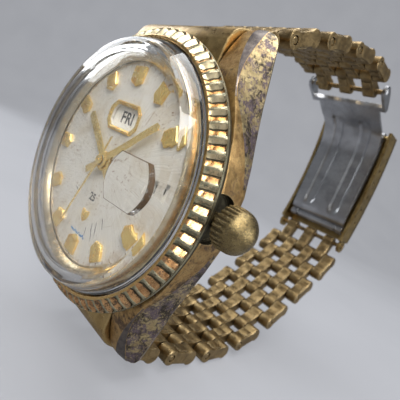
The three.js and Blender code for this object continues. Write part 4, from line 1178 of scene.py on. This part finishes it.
def band(bm, path, x0, x1, thick, columns=24, emboss=None, mat=0):
    """A strip along (y, z), with an even thickness. emboss(s, x) pushes it out of line."""
    n = len(path)
    lengths = [0.0]
    for p, q in zip(path, path[1:]):
        lengths.append(lengths[-1] + math.dist(p, q))
    total = lengths[-1]
    sides = []
    for sign in (-0.5, 0.5):
        grid = []
        for i, (y, z) in enumerate(path):
            (ay, az), (by, bz) = path[max(i - 1, 0)], path[min(i + 1, n - 1)]
            size = math.dist((ay, az), (by, bz))
            ny, nz = -(bz - az) / size, (by - ay) / size
            row = []
            for j in range(columns + 1):
                x = x0 + (x1 - x0) * j / columns
                d = sign * thick + (emboss(lengths[i] / total, x) if emboss else 0.0)
                row.append(bm.verts.new((x, y + ny * d, z + nz * d)))
            grid.append(row)
        sides.append(grid)
    low, high = sides
    quads = []
    for i in range(n - 1):
        for j in range(columns):
            quads.append((low[i][j], low[i][j + 1], low[i + 1][j + 1], low[i + 1][j]))
            quads.append((high[i][j], high[i + 1][j], high[i + 1][j + 1], high[i][j + 1]))
        for j in (0, columns):
            quads.append((low[i][j], low[i + 1][j], high[i + 1][j], high[i][j]))
    for i in (0, n - 1):
        for j in range(columns):
            quads.append((low[i][j], low[i][j + 1], high[i][j + 1], high[i][j]))
    for quad in quads:
        bm.faces.new(quad).material_index = mat


def ribs(centres, half, start, stop, depth):
    """Long embossed ovals down a blade."""
    def emboss(s, x):
        best = 0.0
        for c in centres:
            across = abs(x - c) / half
            along = max(start - s, s - stop, 0.0) / 0.035
            reach = math.hypot(across, along) if along > 0 else across
            best = max(best, 1 - ease(0.72, 1.0, reach))
        return depth * best
    return emboss


def clasp():
    cy, cz = yz(JOINTS["cover_swing"])
    ty, tz = yz(JOINTS["fold_top"])
    ly, lz = yz(JOINTS["fold_low"])
    tail_12 = box_mm("link_12_09")
    fy, fz = tail_12[1].y - TUBE, tail_12[0].z + TUBE
    half, thick, depth = 8.6, 0.8, 4.2
    line = smooth_line([(cy + 2.1, cz + 1.2), (cy + 3.2, cz + 7.5), (cy + 3.6, cz + 15.5),
                        (cy + 3.1, cz + 22.5),
                        (cy + 1.9, cz + 28.6)], 5)

    bm = bmesh.new()
    band(bm, line, -half, half, thick, 16)
    low_line = [(y - depth, z) for y, z in line]
    for s in (-1, 1):
        x0, x1 = sorted((s * half, s * (half - 0.7)))
        holes = [circle(0.45, 16, cy + 1.2, cz + 6.5 + 3.4 * i) for i in range(5)]
        prism_x(bm, line + low_line[::-1], x0, x1, holes)
        prism_x(bm, circle(1.5, 28, cy, cz), x0, x1, [circle(0.72, 16, cy, cz)])
    pin(bm, (ty, tz), half - 0.3, 0.45)
    finish_mesh(bm, "clasp_cover_channel", "cover", ["clasp_cover"], COVER, 30, 0.09)

    middle = smooth_line([(ty - 0.3, tz - 0.6), (ty + 0.9, tz - 4), (ty + 1.3, lz + 12),
                          (ly + 0.9, lz + 4), (ly, lz)],
                         8)
    bm = bmesh.new()
    band(bm, middle, -6.4, 6.4, 0.5, 48, ribs((0.0,), 1.6, 0.2, 0.8, 0.22))
    tube(bm, (ty, tz), 6.4, 1.0, 0.75)
    tube(bm, (ly, lz), 5.3, 0.85, 0.4)
    pin(bm, (ly, lz), 7.2, 0.4)
    finish_mesh(bm, "clasp_middle_plate", "blade_middle", ["clasp_blade_middle"], BLADE, 30)

    flat_y = ly - 1.3
    inner = smooth_line([(ly - 0.3, lz + 0.9), (flat_y, lz + 2.4), (flat_y, lz + 9), (flat_y, lz + 16),
                         (flat_y - 0.5, lz + 20), (flat_y - 2.6, lz + 23.6), (fy + 6.5, fz - 3.6),
                         (fy + 2.7, fz - 1.9)], 8)
    bm = bmesh.new()
    band(bm, inner, -7.2, 7.2, 0.5, 64, ribs((-3.4, 3.4), 1.35, 0.12, 0.8, -0.36))
    for s in (-1, 1):
        x0, x1 = sorted((s * 5.6, s * 7.2))
        prism_x(bm, circle(0.95, 24, ly, lz), x0, x1)
        x0, x1 = sorted((s * 8.05, s * 8.7))
        ear = smooth_line([(fy - 0.9, fz + 1.1), (fy - 1.3, fz), (fy - 0.8, fz - 1.1), (fy + 2.4, fz - 2.4),
                           (fy + 3.4, fz - 2.8), (fy + 3.7, fz - 1.9), (fy + 2, fz + 0.2),
                           (fy + 0.4, fz + 1.3),
                           (fy - 0.9, fz + 1.1)], 3)[:-1]
        prism_x(bm, ear, x0, x1)
        lathe_x(bm, [(0, s * 8.0), (0.75, s * 8.0), (0.75, s * 8.75), (0.6, s * 8.85), (0, s * 8.9)], 24,
                fy, fz,
                closed=False)
    prism_x(bm, [(fy + 2.4, fz - 2.4), (fy + 3.4, fz - 2.8), (fy + 3.7, fz - 1.9), (fy + 2.7, fz - 1.4)],
            -8.7, 8.7)
    finish_mesh(bm, "clasp_inner_plate", "blade_inner", ["clasp_blade_inner"], BLADE, 30, 0.05)


def tube(bm, at, half, r, bore):
    lathe_x(bm, [(bore, -half), (r - 0.08, -half), (r, -half + 0.08), (r, half - 0.08), (r - 0.08, half),
                 (bore, half)], 28, *at)


# ================= kept CAD nodes =================

KEPT = {
    MOVEMENT: ("main_plate", "train_bridge", "balance_cock", "pallet_fork", "setting_slide", "winding_stem",
               "spring_bar_12", "spring_bar_6", "hairspring", "rotor", "cannon_pinion"),
    BRASS: ("barrel", "centre_wheel", "third_wheel", "fourth_wheel", "escape_wheel", "balance_wheel",
            "minute_wheel", "hour_wheel"),
}


def finish_kept_nodes():
    for mat, names in KEPT.items():
        for name in names:
            ob = bpy.data.objects.get(name)
            if ob is None:
                print("no node", name)
                continue
            for s in ob.material_slots:
                s.material = mat
            m = ob.modifiers.new("edges", "BEVEL")
            m.width = 0.03 * MM
            m.segments = 1
            m.limit_method = "ANGLE"


# ================= floor, light and camera =================

def floor():
    low = CAD_BOX[0]
    z = low[2] - 0.0002
    bm = bmesh.new()
    back = [(-0.5, 0.0), (0.42, 0.0)]
    for i in range(1, 13):
        a = math.pi / 2 * i / 12
        back.append((0.42 + 0.25 * math.sin(a), 0.25 - 0.25 * math.cos(a)))
    back.append((0.67, 0.9))
    view = Vector((-0.67, 0.74, 0)).normalized()
    side = Vector((view.y, -view.x, 0))
    rows = []
    for d, h in back:
        rows.append([bm.verts.new(view * d + side * w + Vector((0, 0, z + h))) for w in (-1.4, 1.4)])
    for one, two in zip(rows, rows[1:]):
        bm.faces.new((one[0], one[1], two[1], two[0]))
    mesh = bpy.data.meshes.new("studio_floor")
    bm.to_mesh(mesh)
    bm.free()
    mesh.shade_smooth()
    n = Nodes("floor_pale_mat")
    cloud = n.noise(0.02, 3, 0.5)
    tint = n.mix(cloud, (0.40, 0.41, 0.44), (0.46, 0.47, 0.50))
    n.put(tint, n.bsdf.inputs["Emission Color"])
    path = n.add("ShaderNodeLightPath")
    seen = n.math("MULTIPLY", path.outputs["Is Camera Ray"], 0.48)
    n.put(n.math("ADD", seen, 0.22), n.bsdf.inputs["Emission Strength"])
    mesh.materials.append(n.finish(n.mix(cloud, (0.13, 0.133, 0.145), (0.15, 0.153, 0.165)), 0.8, 0.0, None))
    ob = bpy.data.objects.new("studio_floor", mesh)
    bpy.context.scene.collection.objects.link(ob)


def softbox(name, at, aim, size, power, colour=(1, 1, 1)):
    light = bpy.data.lights.new(name, "AREA")
    light.shape = "RECTANGLE"
    light.size, light.size_y = size
    light.energy = power
    light.color = colour
    ob = bpy.data.objects.new(name, light)
    ob.location = at
    ob.rotation_euler = (Vector(aim) - Vector(at)).to_track_quat("-Z", "Y").to_euler()
    bpy.context.scene.collection.objects.link(ob)


def studio():
    bpy.context.scene.view_settings.view_transform = "Standard"
    world = bpy.data.worlds.new("studio")
    bpy.context.scene.world = world
    world.use_nodes = True
    back = world.node_tree.nodes["Background"]
    back.inputs[0].default_value = (0.80, 0.83, 0.88, 1)
    back.inputs[1].default_value = 0.22
    centre = (0, 0.02, 0)
    softbox("key", (0.20, -0.20, 0.30), centre, (0.20, 0.20), 1.5, (1.0, 0.98, 0.95))
    softbox("fill", (-0.38, -0.02, 0.20), centre, (0.20, 0.24), 0.6, (0.94, 0.97, 1.0))
    softbox("side", (0.34, 0.10, 0.04), centre, (0.12, 0.26), 0.6, (0.97, 0.98, 1.0))
    softbox("top", (-0.02, 0.05, 0.40), centre, (0.30, 0.30), 1.3, (0.98, 0.99, 1.0))


def camera():
    data = bpy.data.cameras.new("camera")
    data.lens = 31.48
    data.sensor_width = 36
    data.clip_start = 0.002
    data.clip_end = 5
    data.dof.use_dof = True
    data.dof.focus_distance = 0.038
    data.dof.aperture_fstop = 80
    az, el, roll = math.radians(42.011), math.radians(5.229), math.radians(23.635)
    away = Vector((math.cos(el) * math.sin(az), -math.cos(el) * math.cos(az), math.sin(el)))
    right = Vector((math.cos(az), math.sin(az), 0))
    up = away.cross(right)
    tilted = right * math.cos(roll) + up * math.sin(roll)
    tilted_up = up * math.cos(roll) - right * math.sin(roll)
    ob = bpy.data.objects.new("camera", data)
    turn = Matrix((tilted, tilted_up, away)).transposed().to_4x4()
    ob.matrix_world = Matrix.Translation((0.03842, -0.03104, 0.00431)) @ turn
    bpy.context.scene.collection.objects.link(ob)
    bpy.context.scene.camera = ob


case_middle()
bezel()
crystal()
reflector()
dial()
discs()
hands()
crown()
case_back()
bracelet()
clasp()
finish_kept_nodes()
floor()
studio()
camera()

bpy.context.view_layer.update()
